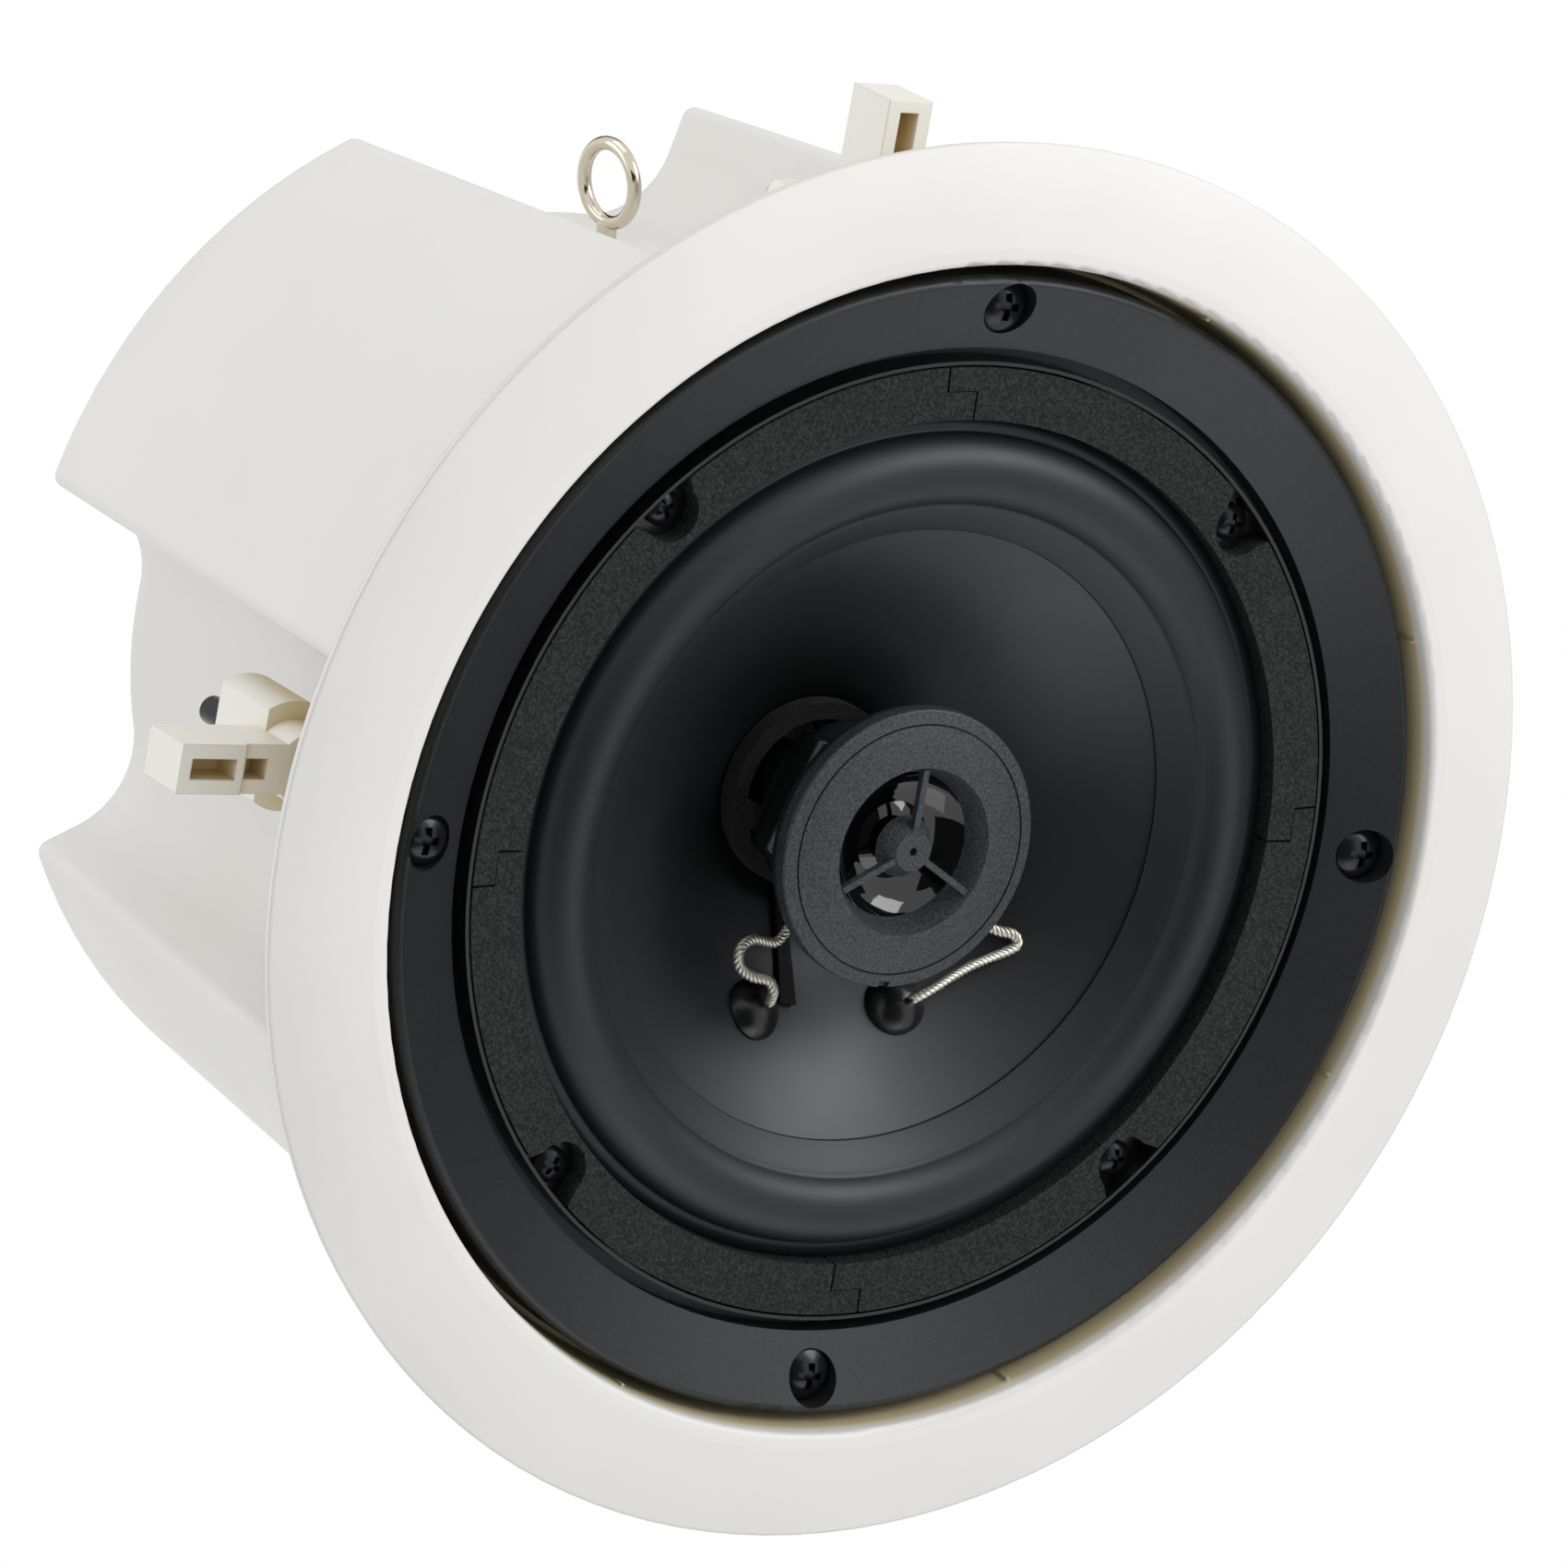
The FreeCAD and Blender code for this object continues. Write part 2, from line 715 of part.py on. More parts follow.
def cross_recess(body, top, width, length, depth):
    """A cross cut in a screw's head, for a cross-point driver."""
    sketch = new_sketch(body, height=top)
    near, far = width / 2, length / 2
    outline(sketch, [
        (far, -near), (far, near), (near, near), (near, far), (-near, far), (-near, near),
        (-far, near), (-far, -near), (-near, -near), (-near, -far), (near, -far), (near, -near),
    ])
    return pocketed(body, sketch, depth)


def pan_head_screw(label, head_top, head_radius, head_height, shank_radius, end, cross):
    body = new_body(label)
    crown = head_height / 2
    curve = (head_radius * head_radius + crown * crown) / (2 * crown)
    spun(body, [
        (0, -head_top, curve, 1),
        (head_radius, crown - head_top),
        (head_radius, head_height - head_top),
        (shank_radius, head_height - head_top),
        (shank_radius, end),
        (0, end),
    ])
    cross_recess(body, -head_top, *cross)
    return body


def clamp_arm(label):
    """The moulded arm in its own frame: the screw's axis is Z, and the arm points along +X."""
    body = new_body(label)
    half = mm.arm_width / 2
    tip = mm.arm_reach
    step = tip - mm.arm_step_inset
    bore = mm.screw_shank_radius + mm.screw_gap
    sleeve_front = mm.arm_front + mm.arm_step
    padded(body, circle(new_sketch(body, height=sleeve_front), 0, 0, mm.sleeve_radius), mm.arm_height)
    padded(body, rectangle(new_sketch(body, height=sleeve_front), 0, step, -half, half),
           mm.arm_height - mm.arm_step)
    padded(body, rectangle(new_sketch(body, height=mm.arm_front), step, tip, -half, half), mm.arm_height)
    reach, side = mm.hub_reach, mm.hub_radius
    flat = root(side * side - reach * reach)
    hub = outline(new_sketch(body, height=mm.hub_front), [
        (reach, -flat),
        (reach, flat, side, 1),
        (0, side, side, 1),
        (-side, 0, side, 1),
        (0, -side, side, 1),
    ])
    padded(body, hub, mm.hub_height)
    width = mm.arm_pocket_width / 2
    tip_end = tip - mm.arm_tip_wall
    heel_end = tip_end - mm.tip_pocket_length - mm.pocket_web
    for end, length in ((tip_end, mm.tip_pocket_length), (heel_end, mm.heel_pocket_length)):
        hollow = rectangle(new_sketch(body, height=mm.arm_front), end - length, end, -width, width)
        pocketed(body, hollow, mm.arm_pocket_depth)
    pocketed(body, circle(new_sketch(body, height=mm.arm_front), 0, 0, bore), mm.hub_back - mm.arm_front)
    nut_seat = new_sketch(body, height=mm.hub_back - mm.nut_height)
    pocketed(body, hexagon(nut_seat, mm.nut_flats), mm.nut_height)
    return body


def nut(label, flats, height, bore):
    body = new_body(label)
    padded(body, hexagon(new_sketch(body), flats), height)
    pocketed(body, circle(new_sketch(body), 0, 0, bore), height)
    return body


clamp_cross = (mm.screw_cross_width, mm.screw_cross_length, mm.screw_cross_depth)
for number in range(1, SIZES["clamp_count"] + 1):
    angle = mm.clamp_angle + 360 / mm.clamp_count * (number - 1)
    place = at_angle(mm.clamp_circle, angle)
    screw = node(pan_head_screw(f"clamp_screw_{number}", mm.screw_head_top, mm.screw_head_radius,
                                mm.screw_head_height, mm.screw_shank_radius, mm.screw_end, clamp_cross),
                 f"clamp_screw_{number}")
    arm = node(clamp_arm(f"clamp_arm_{number}"), f"clamp_arm_{number}")
    clamp_nut = node(nut(f"clamp_nut_{number}", mm.nut_flats, mm.nut_height,
                         mm.screw_shank_radius + mm.screw_gap / 2), f"clamp_nut_{number}")
    for piece, height in ((screw, 0), (arm, 0), (clamp_nut, mm.hub_back - mm.nut_height)):
        turn_about_axis(piece, angle)
        stand_at(piece, *place, height)


# Gasket: four foam strips that lock into each other with stepped ends

def gasket_segment(label):
    """One strip, drawn evenly about +X, with a stepped end on each side."""
    body = new_body(label)
    sketch = new_sketch(body, height=mm.gasket_seat - mm.gasket_height)
    step = mm.gasket_joint_step
    slack = mm.gasket_joint_gap
    inner, middle, outer = mm.gasket_inner, mm.gasket_joint_radius, mm.gasket_outer
    span = 180 / mm.strip_count
    start_in, start_out = step + slack - span, slack - step - span
    end_in, end_out = span + step - slack, span - step - slack
    outline(sketch, [
        (*at_angle(inner, end_in), inner, -1),
        (*at_angle(inner, start_in),),
        (*at_angle(middle, start_in), middle, -1),
        (*at_angle(middle, start_out),),
        (*at_angle(outer, start_out), outer, 1),
        (*at_angle(outer, end_out),),
        (*at_angle(middle - slack, end_out), middle - slack, 1),
        (*at_angle(middle - slack, end_in),),
    ])
    padded(body, sketch, mm.gasket_height)
    notch_angle = mm.driver_screw_angle - mm.gasket_joint_angle + span
    centre_x, centre_y = at_angle(mm.driver_screw_circle, notch_angle)
    notch = new_sketch(body, height=mm.gasket_seat - mm.gasket_height)
    radius, flare, edge = mm.notch_radius, mm.notch_flare, mm.gasket_outer + mm.notch_radius
    outline(notch, [
        (centre_x, centre_y + radius, radius, 1),
        (centre_x - radius, centre_y, radius, 1),
        (centre_x, centre_y - radius),
        (edge, centre_y - flare),
        (edge, centre_y + flare),
    ])
    pocketed(body, notch, mm.gasket_height)
    return body


for number in range(1, SIZES["strip_count"] + 1):
    segment = node(gasket_segment(f"gasket_segment_{number}"), f"gasket_segment_{number}")
    turn_about_axis(segment, mm.gasket_joint_angle + (2 * number - 3) * 180 / mm.strip_count)


# Woofer basket: pressed steel, open between its arms

def basket():
    body = new_body("basket")
    sheet_metal = mm.basket_sheet
    rim = mm.baffle_seat - sheet_metal - mm.basket_rim_height
    spun(body, [
        (mm.basket_radius, rim),
        (mm.basket_radius, mm.baffle_seat),
        (mm.basket_throat, mm.baffle_seat),
        (mm.basket_throat, mm.basket_throat_depth),
        (mm.basket_shelf_radius, mm.basket_shelf_depth + sheet_metal),
        (mm.basket_cup_radius, mm.basket_shelf_depth + sheet_metal),
        (mm.basket_cup_radius, mm.basket_cup_depth),
        (mm.plate_bore, mm.basket_cup_depth),
        (mm.plate_bore, mm.basket_cup_depth - sheet_metal),
        (mm.basket_cup_radius - sheet_metal, mm.basket_cup_depth - sheet_metal),
        (mm.basket_cup_radius - sheet_metal, mm.basket_shelf_depth),
        (mm.basket_shelf_radius - sheet_metal, mm.basket_shelf_depth),
        (mm.basket_throat - sheet_metal, mm.basket_throat_depth - sheet_metal),
        (mm.basket_throat - sheet_metal, mm.gasket_seat),
        (mm.basket_radius - sheet_metal / 2, mm.gasket_seat),
        (mm.basket_radius - sheet_metal / 2, rim),
    ])
    window = new_sketch(body, height=mm.basket_throat_depth - sheet_metal)
    side = mm.basket_window_half_angle
    inner, outer = mm.basket_window_inner, mm.basket_window_outer
    outline(window, [
        (*at_angle(inner, side), inner, -1),
        (*at_angle(inner, -side),),
        (*at_angle(outer, -side), outer, 1),
        (*at_angle(outer, side),),
    ])
    depth = mm.basket_shelf_depth + sheet_metal - mm.basket_throat_depth
    repeated(body, pocketed(body, window, depth + sheet_metal), mm.basket_window_count)
    hole = new_sketch(body, height=mm.gasket_seat)
    hole_radius = mm.driver_shank_radius + mm.screw_gap
    circle(hole, *at_angle(mm.driver_screw_circle, mm.driver_screw_angle), hole_radius)
    repeated(body, pocketed(body, hole, sheet_metal), mm.strip_count)
    return body


node(basket(), "basket")

driver_screws = doc.addObject("Part::Compound", "driver_screws")
screws = []
for number in range(SIZES["strip_count"]):
    screw = pan_head_screw(f"driver_screw_{number + 1}", mm.driver_head_height, mm.driver_head_radius,
                           mm.driver_head_height, mm.driver_shank_radius, mm.driver_shank_length,
                           (mm.driver_cross_width, mm.driver_cross_length, mm.driver_cross_depth))
    turn_about_axis(screw, mm.driver_screw_turn * number)
    angle = mm.driver_screw_angle + 360 / mm.strip_count * number
    stand_at(screw, *at_angle(mm.driver_screw_circle, angle), mm.gasket_seat)
    screws.append(screw)
driver_screws.Links = screws
node(driver_screws, "driver_screws")


# Cone with its voice coil, the surround and the spider that carry it, and the motor

cone_run = mm.cone_radius - mm.coil_former_outer
cone_chord = root(cone_run * cone_run + mm.cone_depth * mm.cone_depth)
cone_rise = root(mm.cone_curve * mm.cone_curve - cone_chord * cone_chord / 4)
cone_centre_radius = (mm.cone_radius + mm.coil_former_outer) / 2 + cone_rise * mm.cone_depth / cone_chord
cone_centre_height = (mm.cone_edge_height + mm.cone_throat) / 2 + cone_rise * cone_run / cone_chord


def cone_height(radius, lift=0):
    """The height, at a radius, of the cone's front face or of a face that lies a lift in front of it."""
    run = cone_centre_radius - radius
    curve = mm.cone_curve + lift
    return cone_centre_height - root(curve * curve - run * run)


def cone():
    body = new_body("cone")
    curve = mm.cone_curve
    spun(body, [
        (mm.cone_radius, mm.cone_edge_height, curve, -1),
        (mm.coil_former_outer, mm.cone_throat),
        (mm.coil_former_outer, mm.cone_throat + mm.cone_throat_thickness, curve, 1),
        (mm.cone_radius, mm.cone_edge_height + mm.cone_edge_thickness),
    ])
    return body


def ring(label, inner, outer, front, back):
    body = new_body(label)
    spun(body, [(inner, front), (outer, front), (outer, back), (inner, back)])
    return node(body, label)


def surround():
    """A half-roll of rubber between the cone's edge and the basket's rim."""
    body = new_body("surround")
    skin = mm.surround_skin
    seat = mm.gasket_seat - mm.seat_gap
    lip = mm.cone_edge_height - mm.glue_gap
    heel = cone_height(mm.surround_inner, mm.glue_gap)
    spun(body, [
        (mm.surround_outer, seat - skin),
        (mm.surround_outer, seat),
        (mm.surround_roll_outer - skin, seat, mm.surround_crown - skin, -1),
        (mm.surround_roll_inner + skin, lip - skin),
        (mm.surround_roll_inner, lip),
        (mm.surround_inner, heel),
        (mm.surround_inner, heel - skin),
        (mm.surround_roll_inner, lip - mm.surround_lip, mm.surround_crown, 1),
        (mm.surround_roll_outer, seat - skin),
    ])
    return body


def spider():
    """A corrugated cloth disc that centres the coil."""
    body = new_body("spider")
    cloth = mm.spider_sheet
    seat = mm.basket_shelf_depth - mm.seat_gap
    inner = mm.coil_former_outer + mm.glue_gap
    outer = mm.basket_shelf_radius - mm.basket_sheet
    waves = SIZES["spider_wave_count"]
    start = inner + mm.spider_collar
    pitch = (mm.basket_cup_radius - mm.basket_sheet - start) / mm.spider_wave_count
    height = mm.spider_wave_height
    curve = (pitch * pitch / 4 + height * height) / (2 * height)
    turns = [1 if wave % 2 else -1 for wave in range(waves + 1)]
    lower = [(start + pitch * wave, seat, curve, turns[wave]) for wave in range(waves)]
    upper = [(start + pitch * wave, seat - cloth, curve, turns[wave]) for wave in range(waves, 0, -1)]
    spun(body, [
        (inner, seat - cloth),
        (inner, seat),
        *lower,
        (start + pitch * waves, seat),
        (outer, seat),
        (outer, seat - cloth),
        *upper,
        (start, seat - cloth),
    ])
    return body


def yoke():
    body = new_body("yoke")
    back = mm.magnet_back + mm.yoke_thickness
    spun(body, [
        (0, mm.basket_cup_depth),
        (mm.pole_radius, mm.basket_cup_depth),
        (mm.pole_radius, mm.magnet_back),
        (mm.yoke_radius, mm.magnet_back),
        (mm.yoke_radius, back),
        (0, back),
    ])
    return body


def lead_anchor(label, angle):
    """A dome of glue that lies on the cone's front face."""
    body = new_body(label)
    radius, height = mm.anchor_radius, mm.anchor_height
    curve = (radius * radius + height * height) / (2 * height)
    spun(body, [(0, 0), (radius, 0, curve, 1), (0, height)])
    lean = (cone_centre_radius - mm.anchor_circle) / mm.cone_curve
    slope = math.degrees(math.asin(lean.number))
    lift = mm.anchor_lift
    circle_radius = mm.anchor_circle - lift * lean
    front = cone_height(mm.anchor_circle) - lift * root(1 - lean * lean)
    upright = FreeCAD.Rotation(FreeCAD.Vector(0, 1, 0), 180 + slope)
    swing = FreeCAD.Rotation(FreeCAD.Vector(0, 0, 1), angle.number)
    body.Placement = FreeCAD.Placement(FreeCAD.Vector(), swing * upright)
    stand_at(body, *at_angle(circle_radius, angle), front)
    return body


def felt_ring():
    """A fuzzy ring that lies on the cone's face at its throat."""
    body = new_body("felt_ring")
    front = cone_height(mm.felt_radius) - mm.felt_thickness
    lift = mm.glue_gap
    spun(body, [
        (mm.felt_inner, front),
        (mm.felt_radius, front),
        (mm.felt_radius, cone_height(mm.felt_radius, lift), mm.cone_curve + lift, -1),
        (mm.felt_inner, cone_height(mm.felt_inner, lift)),
    ])
    return body


def coil_lead(label, angle):
    """A flat wire from the voice coil, sealed to the cone's face from the felt ring to the glue."""
    body = new_body(label)
    inner = mm.felt_radius + mm.glue_gap
    outer = mm.anchor_circle - mm.anchor_radius / 2
    under, over = mm.glue_gap, mm.glue_gap + mm.coil_lead_height
    spun(body, [
        (inner, cone_height(inner, over)),
        (inner, cone_height(inner, under), mm.cone_curve + under, 1),
        (outer, cone_height(outer, under)),
        (outer, cone_height(outer, over), mm.cone_curve + over, -1),
    ], mm.coil_lead_spread)
    turn_about_axis(body, angle)
    return node(body, label)


node(cone(), "cone")
node(surround(), "surround")
node(spider(), "spider")
ring("voice_coil_former", mm.coil_former_radius, mm.coil_former_outer, mm.cone_throat - mm.coil_former_lip,
     mm.coil_middle + mm.coil_length / 2)
ring("voice_coil", mm.coil_former_outer, mm.coil_former_outer + mm.coil_thickness,
     mm.coil_middle - mm.coil_length / 2, mm.coil_middle + mm.coil_length / 2)
ring("top_plate", mm.plate_bore, mm.plate_radius, mm.basket_cup_depth, mm.plate_back)
ring("magnet", mm.magnet_bore, mm.magnet_radius, mm.plate_back, mm.magnet_back)
node(yoke(), "yoke")
node(felt_ring(), "felt_ring")
coil_lead("coil_lead_left", mm.anchor_left_angle - mm.coil_lead_turn)
coil_lead("coil_lead_right", mm.anchor_right_angle - mm.coil_lead_turn)
node(lead_anchor("lead_anchor_left", mm.anchor_left_angle), "lead_anchor_left")
node(lead_anchor("lead_anchor_right", mm.anchor_right_angle), "lead_anchor_right")


# Tweeter: carried in front of the cone by a post on the woofer's pole

def tweeter_bezel():
    body = new_body("tweeter_bezel")
    spun(body, [
        (mm.bezel_throat_radius, mm.bezel_back),
        (mm.bezel_mouth_radius, -mm.bezel_mouth_height, mm.bezel_face_curve, 1),
        (mm.bezel_groove_inner, -mm.bezel_rim_height),
        (mm.bezel_groove_inner, mm.bezel_groove_depth - mm.bezel_rim_height),
        (mm.bezel_groove_outer, mm.bezel_groove_depth - mm.bezel_rim_height),
        (mm.bezel_groove_outer, -mm.bezel_rim_height),
        (mm.bezel_radius - mm.bezel_round, mm.bezel_rim_slope - mm.bezel_rim_height, mm.bezel_round, 1),
        (mm.bezel_radius, mm.bezel_rim_slope + mm.bezel_round - mm.bezel_rim_height),
        (mm.bezel_radius, mm.bezel_back),
    ])
    spoke = new_sketch(body, height=mm.spoke_setback - mm.plug_top)
    half = mm.spoke_width / 2
    rectangle(spoke, 0, (mm.bezel_mouth_radius + mm.bezel_throat_radius) / 2 + half, -half, half)
    repeated(body, padded(body, spoke, mm.spoke_height), mm.spoke_count)
    spun(body, [
        (0, -mm.plug_top),
        (mm.plug_tip_radius, -mm.plug_top),
        (mm.plug_base_radius, mm.plug_base),
        (0, mm.plug_base),
    ])
    hole = circle(new_sketch(body, height=-mm.plug_top), 0, 0, mm.plug_hole_radius)
    pocketed(body, hole, mm.plug_top / 2)
    gap = bar(new_sketch(body, height=-mm.bezel_rim_height), (mm.bezel_groove_outer + mm.bezel_radius) / 2,
              mm.bezel_radius + mm.notch_width, mm.notch_width, 90 - mm.spoke_angle)
    pocketed(body, gap, mm.bezel_rim_height)
    turn_about_axis(body, mm.spoke_angle)
    return body


def tweeter_diaphragm():
    """A thin dome in a curved funnel, clamped at its rim between the bezel and the pod."""
    body = new_body("tweeter_diaphragm")
    film = mm.diaphragm_film
    edge = mm.bezel_back
    deep = edge + mm.funnel_depth
    radius, height = mm.dome_radius, mm.dome_height
    curve = (radius * radius + height * height) / (2 * height)
    mouth = mm.bezel_throat_radius
    spun(body, [
        (0, deep - height, curve, 1),
        (radius, deep, mm.funnel_curve, -1),
        (mouth, edge),
        (mm.diaphragm_radius, edge),
        (mm.diaphragm_radius, edge + film),
        (mouth, edge + film, mm.funnel_curve, 1),
        (radius, deep + film, curve, -1),
        (0, deep + film - height),
    ])
    return body


def tweeter_pod():
    body = new_body("tweeter_pod")
    front = mm.bezel_back
    wall = mm.pod_wall
    bore = mm.diaphragm_radius + mm.seat_gap
    inside = mm.pod_body_radius - wall
    spun(body, [
        (bore, front),
        (mm.pod_radius, front),
        (mm.pod_radius, mm.pod_rim_back),
        (bore + wall, mm.pod_rim_back + wall),
        (mm.pod_body_radius, mm.pod_rim_back + wall),
        (mm.pod_body_radius, mm.pod_length),
        (0, mm.pod_length),
        (0, mm.pod_length - wall),
        (inside, mm.pod_length - wall),
        (inside, mm.pod_rim_back + wall / 2),
        (bore, mm.pod_rim_back - wall / 2),
    ])
    return body


def tweeter_yoke():
    body = new_body("tweeter_yoke")
    back = mm.pod_length - mm.pod_wall
    front = back - mm.tweeter_yoke_length
    wall = mm.pod_wall
    outer = mm.pod_body_radius - wall - mm.glue_gap
    spun(body, [
        (outer - wall, front),
        (outer, front),
        (outer, back),
        (0, back),
        (0, back - wall),
        (outer - wall, back - wall),
    ])
    return body


def tweeter_mount():
    body = new_body("tweeter_mount")
    bore = mm.post_radius + mm.seat_gap
    plate_back = mm.mount_plate_front + mm.mount_plate
    back = mm.pod_length + mm.mount_hub_length
    spun(body, [
        (bore, mm.pod_length),
        (mm.mount_hub_radius, mm.pod_length),
        (mm.mount_hub_radius, mm.mount_plate_front),
        (mm.mount_radius, mm.mount_plate_front),
        (mm.mount_radius, plate_back),
        (mm.mount_hub_radius, plate_back),
        (mm.mount_hub_radius, back),
        (bore, back),
    ])
    return body


node(tweeter_bezel(), "tweeter_bezel")
node(tweeter_diaphragm(), "tweeter_diaphragm")
node(tweeter_pod(), "tweeter_pod")
node(tweeter_yoke(), "tweeter_yoke")
magnet_seat = mm.pod_length - 2 * mm.pod_wall
magnet_radius = mm.pod_body_radius - 2 * mm.pod_wall - mm.glue_gap - mm.tweeter_magnet_gap
ring("tweeter_magnet", as_size(0), magnet_radius, magnet_seat - mm.tweeter_yoke_length + 2 * mm.pod_wall,
     magnet_seat)
node(tweeter_mount(), "tweeter_mount")
ring("tweeter_post", as_size(0), mm.post_radius, mm.pod_length, mm.basket_cup_depth)


def capacitor():
    """A round can with rolled ends, which lies across the pod's side."""
    body = new_body("capacitor")
    radius, half, corner = mm.capacitor_radius, mm.capacitor_length / 2, mm.capacitor_round
    spun(body, [
        (0, -half),
        (radius - corner, -half, corner, 1),
        (radius, corner - half),
        (radius, half - corner, corner, 1),
        (radius - corner, half),
        (0, half),
    ])
    along = FreeCAD.Rotation(FreeCAD.Vector(0, 0, 1), mm.capacitor_angle.number)
    sideways = FreeCAD.Rotation(FreeCAD.Vector(1, 0, 0), 90)
    body.Placement = FreeCAD.Placement(FreeCAD.Vector(), along * sideways)
    stand_at(body, *at_angle(mm.capacitor_circle, mm.capacitor_angle), mm.capacitor_height)
    return body


node(capacitor(), "capacitor")

for name, angle in (("solder_tag_left", mm.tag_left_angle), ("solder_tag_right", mm.tag_right_angle)):
    tag = new_body(name)
    strip = new_sketch(tag, height=mm.mount_plate_front - mm.tag_thickness)
    bar(strip, mm.mount_radius - mm.tag_overlap, mm.tag_outer, mm.tag_width, angle)
    padded(tag, strip, mm.tag_thickness)
    node(tag, name)


# Leads: braided wire from the solder tags on the tweeter's mount to the glue on the cone

LEAD_LEFT = [
    (-8.1, 17.6, 16.0), (-11.0, 21.4, 15.6), (-16.5, 20.6, 14.2), (-19.6, 21.8, 12.8), (-19.6, 24.5, 12.2),
    (-17.1, 26.2, 11.9), (-13.8, 26.9, 11.6), (-12.8, 28.6, 11.2), (-12.26, 31.03, 12.48),
]
LEAD_RIGHT = [
    (15.7, 11.0, 16.0), (20.4, 13.6, 15.8), (29.5, 18.0, 13.6), (33.0, 18.6, 12.4), (34.2, 20.0, 12.0),
    (33.0, 21.3, 12.0), (25.6, 24.2, 12.0), (18.5, 28.0, 11.4), (15.44, 30.19, 12.27),
]


def bent_wire(label, route, radius):
    """A round wire along straight runs, with an arc at each point as large as its runs allow."""
    points = [FreeCAD.Vector(*point) for point in route]
    edges = []
    start = points[0]
    for before, corner, after in zip(points, points[1:], points[2:]):
        arriving, leaving = corner - before, after - corner
        reach = SIZES["lead_bend_share"] * min(arriving.Length, leaving.Length)
        arriving.normalize()
        leaving.normalize()
        first, last = corner - arriving * reach, corner + leaving * reach
        inward = (leaving - arriving).normalize()
        half_turn = arriving.getAngle(leaving) / 2
        bend = reach / math.tan(half_turn)
        middle = corner + inward * (bend / math.cos(half_turn) - bend)
        edges += [Part.LineSegment(start, first).toShape(), Part.Arc(first, middle, last).toShape()]
        start = last
    edges.append(Part.LineSegment(start, points[-1]).toShape())
    path = Part.Wire(edges)
    section = Part.Wire(Part.Circle(points[0], points[1] - points[0], radius).toShape())
    wire = doc.addObject("Part::Feature", label)
    wire.Shape = path.makePipeShell([section], True, True)
    return node(wire, label)


bent_wire("lead_left", LEAD_LEFT, SIZES["lead_radius"])
bent_wire("lead_right", LEAD_RIGHT, SIZES["lead_radius"])


# Eyebolt for the safety wire, in the recess after the first clamp's

eye_angle = mm.recess_angle + 90
eye_ring = doc.addObject("Part::Torus", "eye_ring")
eye_ring.setExpression("Radius1", mm.eye_ring.formula)
eye_ring.setExpression("Radius2", mm.eye_wire.formula)
recess_share = (mm.eye_height - mm.ledge_back) / (mm.can_depth + mm.can_wall - mm.ledge_back)
eye_seat = mm.recess_floor_front - mm.recess_taper * recess_share
eye_circle = eye_seat + mm.eye_stand_off
eye_floor = eye_seat - mm.can_wall - mm.glue_gap - mm.eye_nut_height
eye_shank = doc.addObject("Part::Cylinder", "eye_shank")
eye_shank.setExpression("Radius", mm.eye_thread_radius.formula)
eye_shank.setExpression("Height", (eye_circle - mm.eye_ring - eye_floor).formula)
outward = FreeCAD.Rotation(FreeCAD.Vector(0, 0, 1), eye_angle.number)
lying = FreeCAD.Rotation(FreeCAD.Vector(0, 1, 0), 90)
upright = FreeCAD.Rotation(FreeCAD.Vector(1, 0, 0), 90)
turned = FreeCAD.Rotation(FreeCAD.Vector(1, 0, 0), mm.eye_turn.number)
eye_ring.Placement = FreeCAD.Placement(FreeCAD.Vector(), outward * turned * upright)
eye_shank.Placement = FreeCAD.Placement(FreeCAD.Vector(), outward * lying)
stand_at(eye_ring, *at_angle(eye_circle, eye_angle), mm.eye_height)
stand_at(eye_shank, *at_angle(eye_floor, eye_angle), mm.eye_height)
eyebolt = doc.addObject("Part::Fuse", "eyebolt")
eyebolt.Base = eye_ring
eyebolt.Tool = eye_shank
node(eyebolt, "eyebolt")

eyebolt_nut = nut("eyebolt_nut", mm.eye_nut_flats, mm.eye_nut_height, mm.eye_thread_radius)
eyebolt_nut.Placement = FreeCAD.Placement(FreeCAD.Vector(), outward * lying)
stand_at(eyebolt_nut, *at_angle(eye_floor, eye_angle), mm.eye_height)
node(eyebolt_nut, "eyebolt_nut")


# Terminals on the can's back

def terminal_block():
    body = new_body("terminal_block")
    length, breadth, corner = mm.terminal_length / 2, mm.terminal_breadth / 2, mm.terminal_corner
    plate = outline(new_sketch(body, height=mm.can_depth), [
        (corner - length, -breadth),
        (length - corner, -breadth, corner, 1),
        (length, corner - breadth),
        (length, breadth - corner, corner, 1),
        (length - corner, breadth),
        (corner - length, breadth, corner, 1),
        (-length, breadth - corner),
        (-length, corner - breadth, corner, 1),
    ])
    padded(body, plate, mm.terminal_plate)
    block_length, block_breadth = mm.terminal_block_length / 2, mm.terminal_block_breadth / 2
    block = rectangle(new_sketch(body, height=mm.can_depth + mm.terminal_plate),
                      -block_length, block_length, -block_breadth, block_breadth)
    padded(body, block, mm.terminal_block_height)
    wire_holes = new_sketch(body, height=mm.can_depth + mm.terminal_plate + mm.terminal_block_height)
    for place in range(SIZES["terminal_count"]):
        offset = (place - (mm.terminal_count - 1) / 2) * mm.terminal_pitch
        circle(wire_holes, offset, 0, mm.terminal_hole)
    pocketed(body, wire_holes, mm.terminal_block_height, along_normal=False)
    screw_holes = new_sketch(body, height=mm.can_depth)
    for side in (-1, 1):
        circle(screw_holes, side * mm.terminal_screw_pitch / 2, 0, mm.terminal_shank_radius + mm.screw_gap)
    pocketed(body, screw_holes, mm.terminal_plate)
    turn_about_axis(body, mm.recess_angle)
    return body


node(terminal_block(), "terminal_block")

